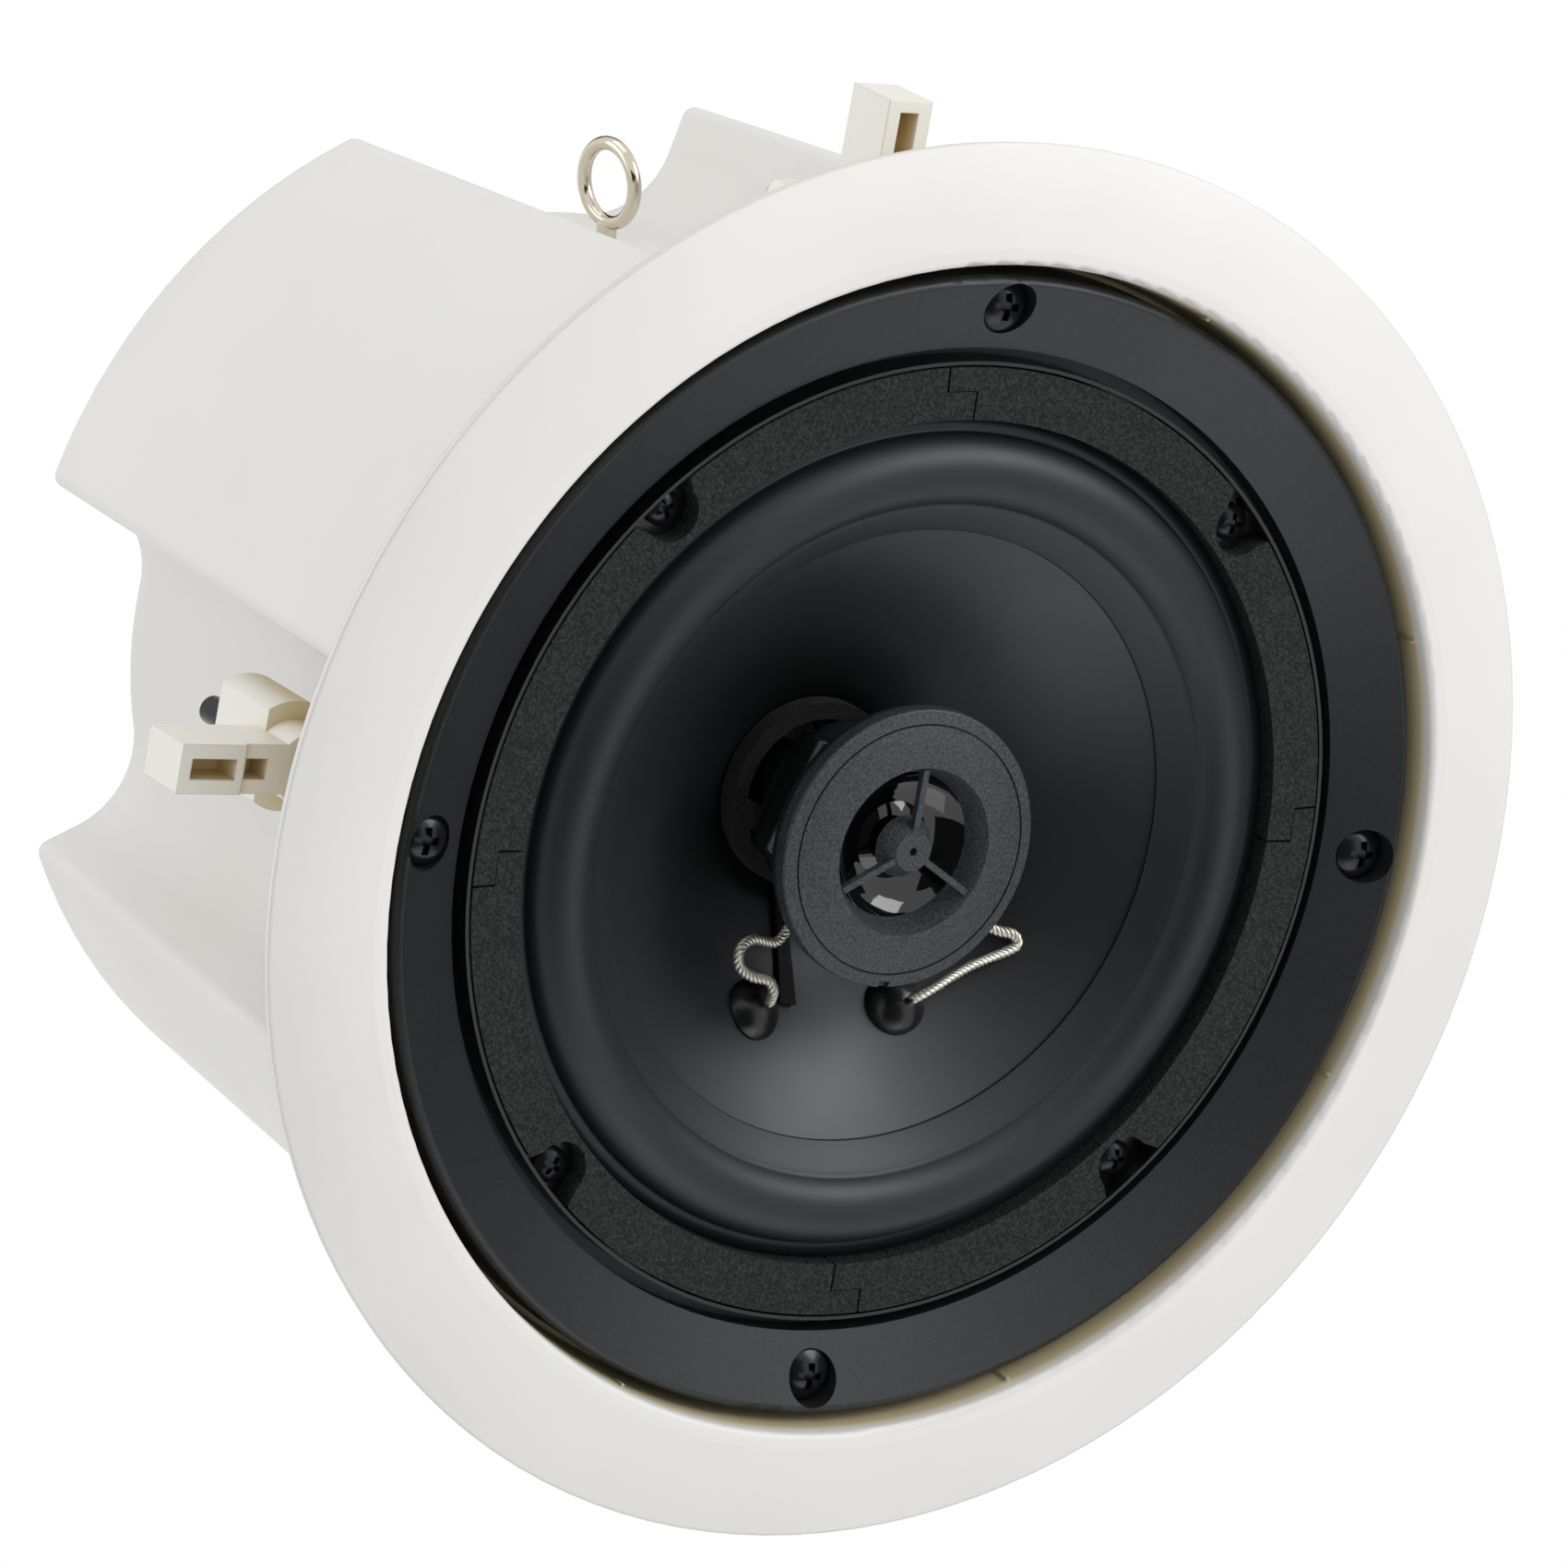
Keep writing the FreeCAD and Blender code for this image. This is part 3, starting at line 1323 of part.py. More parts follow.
terminal_screws = doc.addObject("Part::Compound", "terminal_screws")
fasteners = []
for side in (-1, 1):
    fastener = pan_head_screw(f"terminal_screw_{side + 2}", mm.terminal_screw_height,
                              mm.terminal_screw_radius, mm.terminal_screw_height,
                              mm.terminal_shank_radius, mm.terminal_plate + mm.can_wall,
                              (mm.driver_cross_width, mm.driver_cross_length, mm.driver_cross_depth))
    fastener.Placement = FreeCAD.Placement(FreeCAD.Vector(), FreeCAD.Rotation(FreeCAD.Vector(1, 0, 0), 180))
    offset = side * mm.terminal_screw_pitch / 2
    stand_at(fastener, offset * cosine(mm.recess_angle), offset * sine(mm.recess_angle),
             mm.can_depth + mm.terminal_plate)
    fasteners.append(fastener)
terminal_screws.Links = fasteners
node(terminal_screws, "terminal_screws")


# Check every object, then write each piece

doc.recompute()
for item in doc.Objects:
    if "Invalid" in item.State or "Error" in item.State:
        raise RuntimeError(f"{item.Label} failed: {item.State}")
for piece in nodes:
    if piece.Shape.isNull() or not piece.Shape.isValid():
        raise RuntimeError(f"{piece.Label} has no valid shape")

os.makedirs("parts", exist_ok=True)
for piece in nodes:
    piece.Shape.exportStep(os.path.join("parts", f"{piece.Label}.step"))
print(len(nodes), "pieces written")
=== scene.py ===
"""Looks for the flush-mount ceiling speaker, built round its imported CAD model.

Lengths are in metres, except where a comment says that they are in millimetres.
"""
import math

import bmesh
import bpy
from mathutils import Euler, Matrix, Vector


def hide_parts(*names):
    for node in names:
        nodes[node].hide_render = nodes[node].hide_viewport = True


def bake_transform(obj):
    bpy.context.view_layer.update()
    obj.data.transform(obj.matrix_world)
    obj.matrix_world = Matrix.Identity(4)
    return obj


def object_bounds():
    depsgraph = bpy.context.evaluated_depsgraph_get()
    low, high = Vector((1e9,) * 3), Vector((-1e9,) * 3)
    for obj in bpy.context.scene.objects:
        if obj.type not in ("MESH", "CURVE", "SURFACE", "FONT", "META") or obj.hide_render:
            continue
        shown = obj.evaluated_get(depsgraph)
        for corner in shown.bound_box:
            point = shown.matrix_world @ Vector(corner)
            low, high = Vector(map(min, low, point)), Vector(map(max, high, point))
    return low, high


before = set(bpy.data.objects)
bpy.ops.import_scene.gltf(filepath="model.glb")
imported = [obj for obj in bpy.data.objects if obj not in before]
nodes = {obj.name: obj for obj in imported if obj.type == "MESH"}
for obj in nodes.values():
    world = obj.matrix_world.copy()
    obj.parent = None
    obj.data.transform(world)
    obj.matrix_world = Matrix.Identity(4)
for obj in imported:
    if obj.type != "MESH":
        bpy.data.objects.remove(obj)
cad_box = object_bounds()


# Housing: the flange, collar and back can are one injection moulding in off-white ABS.
# It carries everything else, and the flange is what shows below the ceiling.

def linear(hex_colour):
    """A colour written as sRGB hex, as the linear RGBA that Blender's sockets take."""
    channels = [int(hex_colour[start:start + 2], 16) / 255 for start in (1, 3, 5)]
    return [c / 12.92 if c <= 0.04045 else ((c + 0.055) / 1.055) ** 2.4 for c in channels] + [1]


def per_mm(spacing):
    """The texture scale that repeats a pattern at a spacing in millimetres."""
    return 1000 / spacing


def add_node(material, kind, settings=None, links=None):
    """Add one node, set its options, colour stops and sockets, and join it to other nodes' outputs."""
    tree = material.node_tree
    made = tree.nodes.new("ShaderNode" + kind)
    for name, value in (settings or {}).items():
        if name == "stops":
            for stop, (position, colour) in zip(made.color_ramp.elements, value):
                stop.position = position
                stop.color = linear(colour)
        elif isinstance(name, str) and hasattr(made, name):
            setattr(made, name, value)
        else:
            made.inputs[name].default_value = value
    for name, output in (links or {}).items():
        tree.links.new(output, made.inputs[name])
    return made


def join(material, output, shader, socket):
    """Join one node's output to a socket of a shader."""
    material.node_tree.links.new(output, shader.inputs[socket])


def new_finish(name, colour, roughness, **sockets):
    """Start a material from its colour and roughness. Give it, its shader and the object coordinates."""
    material = bpy.data.materials.new(name)
    material.use_nodes = True
    shader = material.node_tree.nodes["Principled BSDF"]
    shader.inputs["Base Color"].default_value = linear(colour)
    shader.inputs["Roughness"].default_value = roughness
    for socket, value in sockets.items():
        shader.inputs[socket.replace("_", " ")].default_value = value
    coordinates = add_node(material, "TexCoord").outputs["Object"]
    return material, shader, coordinates


def raise_grain(material, shader, place, spacing, depth, strength, detail=3.0, rounded=None):
    """Raise a random grain, with its spacing and depth in millimetres, and give its height.

    Where rounded is a node, the grain lies on that node's rounded edges.
    """
    grain = add_node(material, "TexNoise", {"Scale": per_mm(spacing), "Detail": detail}, {"Vector": place})
    links = {"Height": grain.outputs["Fac"]}
    if rounded:
        links["Normal"] = rounded.outputs["Normal"]
    relief = add_node(material, "Bump", {"Strength": strength, "Distance": depth / 1000}, links)
    join(material, relief.outputs["Normal"], shader, "Normal")
    return grain.outputs["Fac"]


def finish_nodes(material, *names):
    """Give CAD nodes a finish in place of the one that they came with."""
    for name in names:
        nodes[name].data.materials.clear()
        nodes[name].data.materials.append(material)


# The well's outer radius and the soft edge of its painted shade, in millimetres,
# and the heights of its mouth, of its deepest painted shade and of the can behind it.
WELL_RADIUS, WELL_FADE = 99.3, 0.5
WELL_MOUTH, WELL_DEEP, CAN_START = -5.8, -3.0, 9.0

# Off-white ABS from a spark-eroded mould: a fine even grain and a satin sheen.
# Tan is painted into its colour as shade: in its corners, and deepening down the narrow well round the
# baffle, in place of the warmer light that bounces about there.
# The grain is drawn a few times coarser than it is, so that it shows.
housing_abs, shader, place = new_finish("abs_off_white_moulded", "#e6e5e2", 0.46, IOR=1.53)
tone = add_node(housing_abs, "TexNoise", {"Scale": per_mm(45), "Detail": 3.0}, {"Vector": place})
shade = add_node(housing_abs, "ValToRGB", {"stops": [(0.3, "#e3e2de"), (0.7, "#e8e7e5")]},
                 {"Fac": tone.outputs["Fac"]})
# Painted shade: how occluded a corner is sets a share of tan.
corner = add_node(housing_abs, "AmbientOcclusion", {"samples": 8, "only_local": True, "Distance": 0.014})
painted_shade_share = add_node(housing_abs, "MapRange",
                        {"From Min": 0.25, "From Max": 0.8, "To Min": 0.45, "To Max": 0.0},
                        {"Value": corner.outputs["AO"]})
# Painted shade in the well: within its radius and in front of the can, tan deepens from the mouth inwards.
flat = add_node(housing_abs, "VectorMath", {"operation": "MULTIPLY", 1: (1, 1, 0)}, {0: place})
off_axis = add_node(housing_abs, "VectorMath", {"operation": "LENGTH"}, {0: flat.outputs["Vector"]})
inside = add_node(housing_abs, "MapRange",
                  {"From Min": WELL_RADIUS / 1000, "From Max": (WELL_RADIUS + WELL_FADE) / 1000,
                   "To Min": 1.0, "To Max": 0.0}, {"Value": off_axis.outputs["Value"]})
axes = add_node(housing_abs, "SeparateXYZ", links={"Vector": place})
depth = add_node(housing_abs, "MapRange",
                 {"From Min": WELL_MOUTH / 1000, "From Max": WELL_DEEP / 1000, "To Max": 0.85},
                 {"Value": axes.outputs["Z"]})
before_can = add_node(housing_abs, "Math", {"operation": "LESS_THAN", 1: CAN_START / 1000},
                      {0: axes.outputs["Z"]})
painted_well_mask = add_node(housing_abs, "Math", {"operation": "MULTIPLY"},
                   {0: inside.outputs["Result"], 1: before_can.outputs[0]})
painted_well_shade = add_node(housing_abs, "Math", {"operation": "MULTIPLY"},
                      {0: painted_well_mask.outputs[0], 1: depth.outputs["Result"]})
# The stronger of the two painted shades sets how much tan is mixed into the colour.
share = add_node(housing_abs, "Math", {"operation": "MAXIMUM"},
                 {0: painted_shade_share.outputs["Result"], 1: painted_well_shade.outputs[0]})
# A Mix node takes its two colours at sockets 6 and 7, and gives their blend at output 2.
painted_warm_shade = add_node(housing_abs, "Mix", {"data_type": "RGBA", 7: linear("#b3a476")},
                {0: share.outputs[0], 6: shade.outputs["Color"]})
join(housing_abs, painted_warm_shade.outputs[2], shader, "Base Color")
rounded = add_node(housing_abs, "Bevel", {"samples": 4, "Radius": 0.001})
raise_grain(housing_abs, shader, place, spacing=0.7, depth=0.04, strength=0.25, detail=4.0, rounded=rounded)
finish_nodes(housing_abs, "housing")


# Baffle: a ring moulded in black ABS that drops into the housing's well.
# The clamp screws hold it there, and the driver is screwed to its step.

# The black finishes give back light a little cooler than it comes.
COOL = linear("#eef5fb")


def patchy_gloss(material, shader, place, spacing, smooth, rough, detail=3.0):
    """Let the roughness wander between two values, in patches with their spacing in millimetres."""
    patches = add_node(material, "TexNoise", {"Scale": per_mm(spacing), "Detail": detail}, {"Vector": place})
    gloss = add_node(material, "MapRange", {"To Min": smooth, "To Max": rough},
                     {"Value": patches.outputs["Fac"]})
    join(material, gloss.outputs["Result"], shader, "Roughness")


# Black ABS from a lightly textured mould: satin and a little blue, with soft wide highlights on round edges.
black_abs, shader, place = new_finish("abs_black_moulded", "#181a1b", 0.4, Specular_Tint=COOL)
patchy_gloss(black_abs, shader, place, spacing=18, smooth=0.35, rough=0.46, detail=4.0)
grain = raise_grain(black_abs, shader, place, spacing=0.5, depth=0.04, strength=0.3)
shade = add_node(black_abs, "ValToRGB", {"stops": [(0.3, "#141617"), (0.75, "#1f2224")]}, {"Fac": grain})
join(black_abs, shade.outputs["Color"], shader, "Base Color")
finish_nodes(black_abs, "baffle")


# Clamps: a long black steel screw carries a moulded arm, which grips the back of the ceiling board.
# A pressed-in hex nut pulls the arm along the screw.

CLAMPS = range(1, 5)

# Black oxide on steel: dark, with a thin oily gloss.
black_oxide, shader, place = new_finish("steel_black_oxide", "#2c2d30", 0.22, Metallic=0.75)
patchy_gloss(black_oxide, shader, place, spacing=1.2, smooth=0.16, rough=0.32)
finish_nodes(black_oxide, *(f"clamp_screw_{number}" for number in CLAMPS))

# Natural ABS, slightly yellow, with tan painted into its colour as shade in its pockets
# and behind the flange, where light comes off the can.
cream_abs, shader, place = new_finish("abs_cream_moulded", "#f1efe6", 0.4, IOR=1.53)
# Painted shade: occlusion within 45 mm sets how much tan is mixed into the colour.
corner = add_node(cream_abs, "AmbientOcclusion", {"samples": 8, "Distance": 0.045})
painted_shade_share = add_node(cream_abs, "MapRange",
                        {"From Min": 0.15, "From Max": 0.55, "To Min": 1.0, "To Max": 0.0},
                        {"Value": corner.outputs["AO"]})
painted_warm_shade = add_node(cream_abs, "Mix", {"data_type": "RGBA", 6: linear("#f2f0e8"), 7: linear("#d6c08c")},
                {0: painted_shade_share.outputs["Result"]})
join(cream_abs, painted_warm_shade.outputs[2], shader, "Base Color")
rounded = add_node(cream_abs, "Bevel", {"samples": 6, "Radius": 0.00045})
raise_grain(cream_abs, shader, place, spacing=0.8, depth=0.04, strength=0.2, rounded=rounded)
finish_nodes(cream_abs, *(f"clamp_arm_{number}" for number in CLAMPS))

# Zinc plate on steel: bright grey with a faint mottle.
zinc, shader, place = new_finish("steel_zinc_plated", "#b9bab8", 0.34, Metallic=1.0)
patchy_gloss(zinc, shader, place, spacing=2.5, smooth=0.26, rough=0.44)
finish_nodes(zinc, *(f"clamp_nut_{number}" for number in CLAMPS))


# Basket: the driver's frame, pressed from sheet steel and painted black.
# Four black pan-head screws hold its rim to the baffle's step.

# Black paint on pressed steel: glossy, with a slight orange peel.
black_paint, shader, place = new_finish("paint_black_gloss", "#0f1011", 0.25, IOR=1.5)
raise_grain(black_paint, shader, place, spacing=1.6, depth=0.05, strength=0.25, detail=2.0)
finish_nodes(black_paint, "basket")
finish_nodes(black_oxide, "driver_screws")


# Gasket: four strips of closed-cell foam, die-cut with stepped ends that lock into each other.
# They are glued to the basket's rim, round the edge of the surround.

GASKET_STRIPS = range(1, 5)

# Black PE foam, cut through its cells: matt, with a fine open grain that catches a little light.
foam, shader, place = new_finish("foam_black_cut", "#181a19", 0.75, Specular_IOR_Level=0.3)
cells = add_node(foam, "TexVoronoi", {"Scale": per_mm(0.5), "feature": "F1"}, {"Vector": place})
grit = add_node(foam, "TexNoise", {"Scale": per_mm(0.52), "Detail": 5.0}, {"Vector": place})
shade = add_node(foam, "ValToRGB", {"stops": [(0.4, "#101211"), (0.66, "#2f3332")]},
                 {"Fac": grit.outputs["Fac"]})
join(foam, shade.outputs["Color"], shader, "Base Color")
relief = add_node(foam, "Bump", {"Strength": 0.8, "Distance": 0.0003},
                  {"Height": cells.outputs["Distance"]})
join(foam, relief.outputs["Normal"], shader, "Normal")
finish_nodes(foam, *(f"gasket_segment_{number}" for number in GASKET_STRIPS))


# Cone: the woofer's diaphragm, deep-drawn from a sheet of polypropylene with a matt face.
# It is glued to the coil's tube at its throat and to the surround at its edge.

# At a scale of 1 a wave texture repeats every pi / 10 units.
WAVE = math.pi / 10

# Black polypropylene: nearly black, with a broad blue-grey sheen and a trace of the drawing's rings.
polypropylene, shader, place = new_finish("polypropylene_black_matt", "#0f1112", 0.42,
                                          Specular_IOR_Level=0.66, Specular_Tint=COOL)
grain = add_node(polypropylene, "TexNoise", {"Scale": per_mm(0.45), "Detail": 3.0}, {"Vector": place})
turns = add_node(polypropylene, "TexWave",
                 {"wave_type": "RINGS", "rings_direction": "Z", "Scale": per_mm(3.6) * WAVE,
                  "Distortion": 0.6}, {"Vector": place})
height = add_node(polypropylene, "Math", {"operation": "MULTIPLY_ADD", 1: 0.6},
                  {0: turns.outputs["Fac"], 2: grain.outputs["Fac"]})
relief = add_node(polypropylene, "Bump", {"Strength": 0.22, "Distance": 0.00003},
                  {"Height": height.outputs[0]})
join(polypropylene, relief.outputs["Normal"], shader, "Normal")
patchy_gloss(polypropylene, shader, place, spacing=22, smooth=0.38, rough=0.5, detail=4.0)
finish_nodes(polypropylene, "cone")


# Voice coil: copper wire wound on a tube of varnished paper, which is glued into the cone's throat.
# Its two flat ends run over the cone's face, under a coat of the same varnish.

# Enamelled copper wire: bright red-brown, ribbed by its turns, which are drawn coarse so that they show.
copper, shader, place = new_finish("copper_enamelled_wire", "#b8683c", 0.3, Metallic=1.0)
turns = add_node(copper, "TexWave", {"Scale": per_mm(0.6) * WAVE, "bands_direction": "Z"}, {"Vector": place})
relief = add_node(copper, "Bump", {"Strength": 0.5, "Distance": 0.0001}, {"Height": turns.outputs["Fac"]})
join(copper, relief.outputs["Normal"], shader, "Normal")
finish_nodes(copper, "voice_coil")

# Black varnish on paper: dull and uneven where it has soaked in.
varnish, shader, place = new_finish("paper_varnished_black", "#0d0c0c", 0.6, Specular_IOR_Level=0.3)
patchy_gloss(varnish, shader, place, spacing=3, smooth=0.52, rough=0.7, detail=2.0)
finish_nodes(varnish, "voice_coil_former", "coil_lead_left", "coil_lead_right")


# Motor: a ring of sintered ferrite, glued between a steel plate and a steel yoke with a pole.
# The plate is fixed to the back of the basket, and both steel pieces are zinc plated.

# Ground ferrite: dark grey and matt, with a gritty face.
ferrite, shader, place = new_finish("ferrite_ground", "#3a3a3b", 0.6)
raise_grain(ferrite, shader, place, spacing=0.8, depth=0.1, strength=0.3, detail=4.0)
finish_nodes(ferrite, "magnet")
finish_nodes(zinc, "top_plate", "yoke")


# Surround: a half-roll of butyl rubber, pressed in a polished mould.
# It is glued to the cone's edge and to the basket's rim, and rolls as the cone moves.

def smooth_piece(name, shape):
    """Make a bmesh a smooth piece of the scene, with its faces turned outwards."""
    bmesh.ops.recalc_face_normals(shape, faces=shape.faces)
    mesh = bpy.data.meshes.new(name)
    shape.to_mesh(mesh)
    shape.free()
    mesh.polygons.foreach_set("use_smooth", [True] * len(mesh.polygons))
    piece = bpy.data.objects.new(name, mesh)
    bpy.context.scene.collection.objects.link(piece)
    return piece


def spun_piece(name, profile, segments):
    """Turn a closed profile of (radius, height) points in millimetres about the speaker's axis."""
    shape = bmesh.new()
    columns = []
    for step in range(segments):
        angle = 2 * math.pi * step / segments
        ray = Vector((math.cos(angle), math.sin(angle), 0))
        columns.append([shape.verts.new((radius * ray + Vector((0, 0, height))) / 1000)
                        for radius, height in profile])
    for column, following in zip(columns, columns[1:] + columns[:1]):
        for low in range(len(profile)):
            high = (low + 1) % len(profile)
            shape.faces.new((column[low], following[low], following[high], column[high]))
    return smooth_piece(name, shape)


def flex_with_cone(piece):
    """Bake a piece's placement into its mesh."""
    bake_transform(piece)


def flex_across(piece):
    """Bake a spun piece's placement into its mesh, through flex_with_cone."""
    flex_with_cone(piece)


# Radii and heights in millimetres, from the glued rim across the half-roll to the lip on the cone.
RIM_EDGE, ROLL_OUTER, ROLL_INNER, LIP_EDGE = 72.0, 69.4, 57.6, 52.3
RIM_FRONT, RIM_BACK, ROLL_FOOT = 3.75, 4.4, 1.9
CROWN, RUBBER, ROLL_STEPS = 6.3, 0.7, 32
roll_start, roll_end = Vector((ROLL_OUTER, RIM_FRONT)), Vector((ROLL_INNER, ROLL_FOOT))
chord = roll_end - roll_start
rise = math.sqrt(CROWN ** 2 - chord.length_squared / 4)
roll_centre = (roll_start + roll_end) / 2 + Vector((chord.y, -chord.x)).normalized() * rise
ends = [math.atan2(end.y - roll_centre.y, end.x - roll_centre.x) for end in (roll_start, roll_end)]
rays = [Vector((math.cos(turn), math.sin(turn)))
        for turn in (ends[0] + (ends[1] - ends[0]) * step / ROLL_STEPS for step in range(ROLL_STEPS + 1))]
# Beside the arcs, a few points close the rim and carry the lip along the cone's face.
front_face = [(RIM_EDGE, RIM_FRONT), (69.9, RIM_FRONT)]
front_face += [tuple(roll_centre + CROWN * ray) for ray in rays]
front_face += [(57.2, 2.05), (56.4, 2.55), (52.5, 5.2), (LIP_EDGE, 5.4)]
back_face = [(LIP_EDGE, 5.75), (56.4, 3.4), (57.6, 2.75)]
back_face += [tuple(roll_centre + (CROWN - RUBBER) * ray) for ray in rays[-2:1:-1]]
back_face += [(69.6, RIM_BACK), (RIM_EDGE, RIM_BACK)]
surround = spun_piece("surround_roll", front_face + back_face, 192)
flex_across(surround)
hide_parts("surround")

# Butyl rubber from a polished mould: nearly black, with a soft waxy sheen.
rubber, shader, place = new_finish("rubber_butyl", "#191c1e", 0.45, Specular_Tint=COOL)
raise_grain(rubber, shader, place, spacing=0.6, depth=0.04, strength=0.15)
patchy_gloss(rubber, shader, place, spacing=14, smooth=0.4, rough=0.52, detail=4.0)
surround.data.materials.append(rubber)
finish_nodes(rubber, "surround")


# Spider: a disc of corrugated cloth, dipped in resin and hot pressed, that centres the coil.
# It is glued to the coil's tube and to the basket's shelf, and gives as the cone moves.

# Radii and heights in millimetres, from the tube outwards.
SPIDER_INNER, WAVES_START, WAVES_END, SPIDER_OUTER = 13.25, 16.25, 42.5, 45.3
SPIDER_SEAT, CLOTH, WAVE_HEIGHT = 38.95, 0.5, 0.9
WAVE_COUNT, HALF_WAVE_STEPS = 6, 8
wave_steps = WAVE_COUNT * HALF_WAVE_STEPS
lower = [(SPIDER_INNER, SPIDER_SEAT)]
for step in range(wave_steps + 1):
    turn = math.pi * step / HALF_WAVE_STEPS
    radius = WAVES_START + (WAVES_END - WAVES_START) * step / wave_steps
    lower.append((radius, SPIDER_SEAT + WAVE_HEIGHT * math.sin(turn)))
lower.append((SPIDER_OUTER, SPIDER_SEAT))
upper = [(radius, height - CLOTH) for radius, height in reversed(lower)]
spider = spun_piece("spider_disc", lower + upper, 128)
flex_across(spider)
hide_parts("spider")

# Cotton cloth stiffened with phenolic resin: amber brown and matt, with its weave showing.
spider_cloth, shader, place = new_finish("cloth_resin_stiffened", "#b08a48", 0.8)
weave = add_node(spider_cloth, "TexChecker", {"Scale": per_mm(0.9)}, {"Vector": place})
relief = add_node(spider_cloth, "Bump", {"Strength": 0.4, "Distance": 0.0001},
                  {"Height": weave.outputs["Fac"]})
join(spider_cloth, relief.outputs["Normal"], shader, "Normal")
spider.data.materials.append(spider_cloth)
finish_nodes(spider_cloth, "spider")


# Leads: tinned copper braid from the tags on the tweeter's mount to a drop of glue on the cone.
# Each is a rope of fine strands, so that it flexes with the cone.

def smooth_line(points, steps):
    """A line that runs smoothly through points, with a number of steps from each to the next."""
    padded = [2 * points[0] - points[1], *points, 2 * points[-1] - points[-2]]
    line = []
    for before, start, end, after in zip(padded, padded[1:], padded[2:], padded[3:]):
        for step in range(steps):
            share = step / steps
            line.append(0.5 * (2 * start + (end - before) * share
                               + (2 * before - 5 * start + 4 * end - after) * share ** 2
                               + (3 * start - before - 3 * end + after) * share ** 3))
    return line + [points[-1]]


def heading(line, index):
    """The direction in which a line runs at one of its points."""
    return (line[min(index + 1, len(line) - 1)] - line[max(index - 1, 0)]).normalized()


def twisted_lead(name, route, strands=4, strand_radius=0.4, lay=3.4, sides=8):
    """A rope of round strands that wind along a smooth route, once in each lay; lengths in millimetres."""
    points = [Vector(point) for point in route]
    line = smooth_line(points, 12)
    lengths = [0.0]
    for first, second in zip(line, line[1:]):
        lengths.append(lengths[-1] + (second - first).length)
    across = Vector((0, 0, 1))
    frames = []
    for index, point in enumerate(line):
        ahead = heading(line, index)
        across = (across - ahead * across.dot(ahead)).normalized()
        frames.append((point, across, ahead.cross(across)))
    shape = bmesh.new()
    wind = strand_radius / math.sin(math.pi / strands)
    shares = []
    for strand in range(strands):
        centres = []
        for (point, across, up), length in zip(frames, lengths):
            turn = 2 * math.pi * (strand / strands + length / lay)
            centres.append(point + wind * (math.cos(turn) * across + math.sin(turn) * up))
        rings = []
        for index, centre in enumerate(centres):
            along = heading(centres, index)
            first = along.cross(frames[index][1]).normalized()
            second = along.cross(first)
            ring = []
            for side in range(sides):
                turn = 2 * math.pi * side / sides
                rim = centre + strand_radius * (math.cos(turn) * first + math.sin(turn) * second)
                ring.append(shape.verts.new(rim / 1000))
            rings.append(ring)
            shares += [lengths[index] / lengths[-1]] * sides
        for ring, following in zip(rings, rings[1:]):
            for side in range(sides):
                shape.faces.new((ring[side], ring[side - 1], following[side - 1], following[side]))
        shape.faces.new(rings[0])
        shape.faces.new(rings[-1][::-1])
    piece = smooth_piece(name, shape)
    flex_with_cone(piece)
    return piece


lead_left = twisted_lead("lead_left_braid", [
    (-8.1, 17.6, 16.0), (-11.0, 21.4, 15.6), (-16.5, 20.6, 14.2), (-19.6, 21.8, 12.8), (-19.6, 24.5, 12.2),
    (-17.1, 26.2, 11.9), (-13.8, 26.9, 11.6), (-12.8, 28.6, 11.2), (-12.26, 31.03, 12.48)])
lead_right = twisted_lead("lead_right_braid", [
    (15.7, 11.0, 16.0), (20.4, 13.6, 15.8), (29.5, 18.0, 13.6), (33.0, 18.6, 12.4), (34.2, 20.0, 12.0),
    (33.0, 21.3, 12.0), (25.6, 24.2, 12.0), (18.5, 28.0, 11.4), (15.44, 30.19, 12.27)])
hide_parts("lead_left")
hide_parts("lead_right")

# Tinned copper strands: pale silver, dulled between the strands.
tinned, shader, place = new_finish("copper_tinned_braid", "#d8d4c8", 0.38, Metallic=0.85)
raise_grain(tinned, shader, place, spacing=0.35, depth=0.1, strength=0.5, detail=2.0)
for lead in (lead_left, lead_right):
    lead.data.materials.append(tinned)
finish_nodes(tinned, "lead_left", "lead_right", "solder_tag_left", "solder_tag_right")


# Glue drops: black contact cement, dabbed over the end of each lead.
# They hold the braid to the cone's face where it meets the coil's own wires.

# Cured cement: black and lumpy, satin where it has skinned over.
glue, shader, place = new_finish("cement_black_cured", "#0e0f10", 0.3, IOR=1.5)
raise_grain(glue, shader, place, spacing=3.4, depth=0.6, strength=0.35, detail=1.5)
finish_nodes(glue, "lead_anchor_left", "lead_anchor_right")


# Felt ring: a thick ring of pressed wool, punched from a sheet.
# It is glued round the coil's tube, on the cone's throat.

# Pressed wool felt: black and fuzzy, with a few fibres that catch the light.
felt, shader, place = new_finish("felt_black_pressed", "#0c0c0d", 0.95, Specular_IOR_Level=0.1,
                                 Sheen_Weight=0.12, Sheen_Roughness=0.5)
fibres = add_node(felt, "TexNoise", {"Scale": per_mm(0.5), "Detail": 6.0, "Distortion": 1.8},
                  {"Vector": place})
shade = add_node(felt, "ValToRGB", {"stops": [(0.4, "#070708"), (0.72, "#262727")]},
                 {"Fac": fibres.outputs["Fac"]})
join(felt, shade.outputs["Color"], shader, "Base Color")
relief = add_node(felt, "Bump", {"Strength": 0.9, "Distance": 0.0007}, {"Height": fibres.outputs["Fac"]})
join(felt, relief.outputs["Normal"], shader, "Normal")
finish_nodes(felt, "felt_ring")


# Tweeter: a small formed film behind a spoked guard, in a pod moulded in black ABS with its motor behind.
# A mount and a post carry it on the woofer's pole.

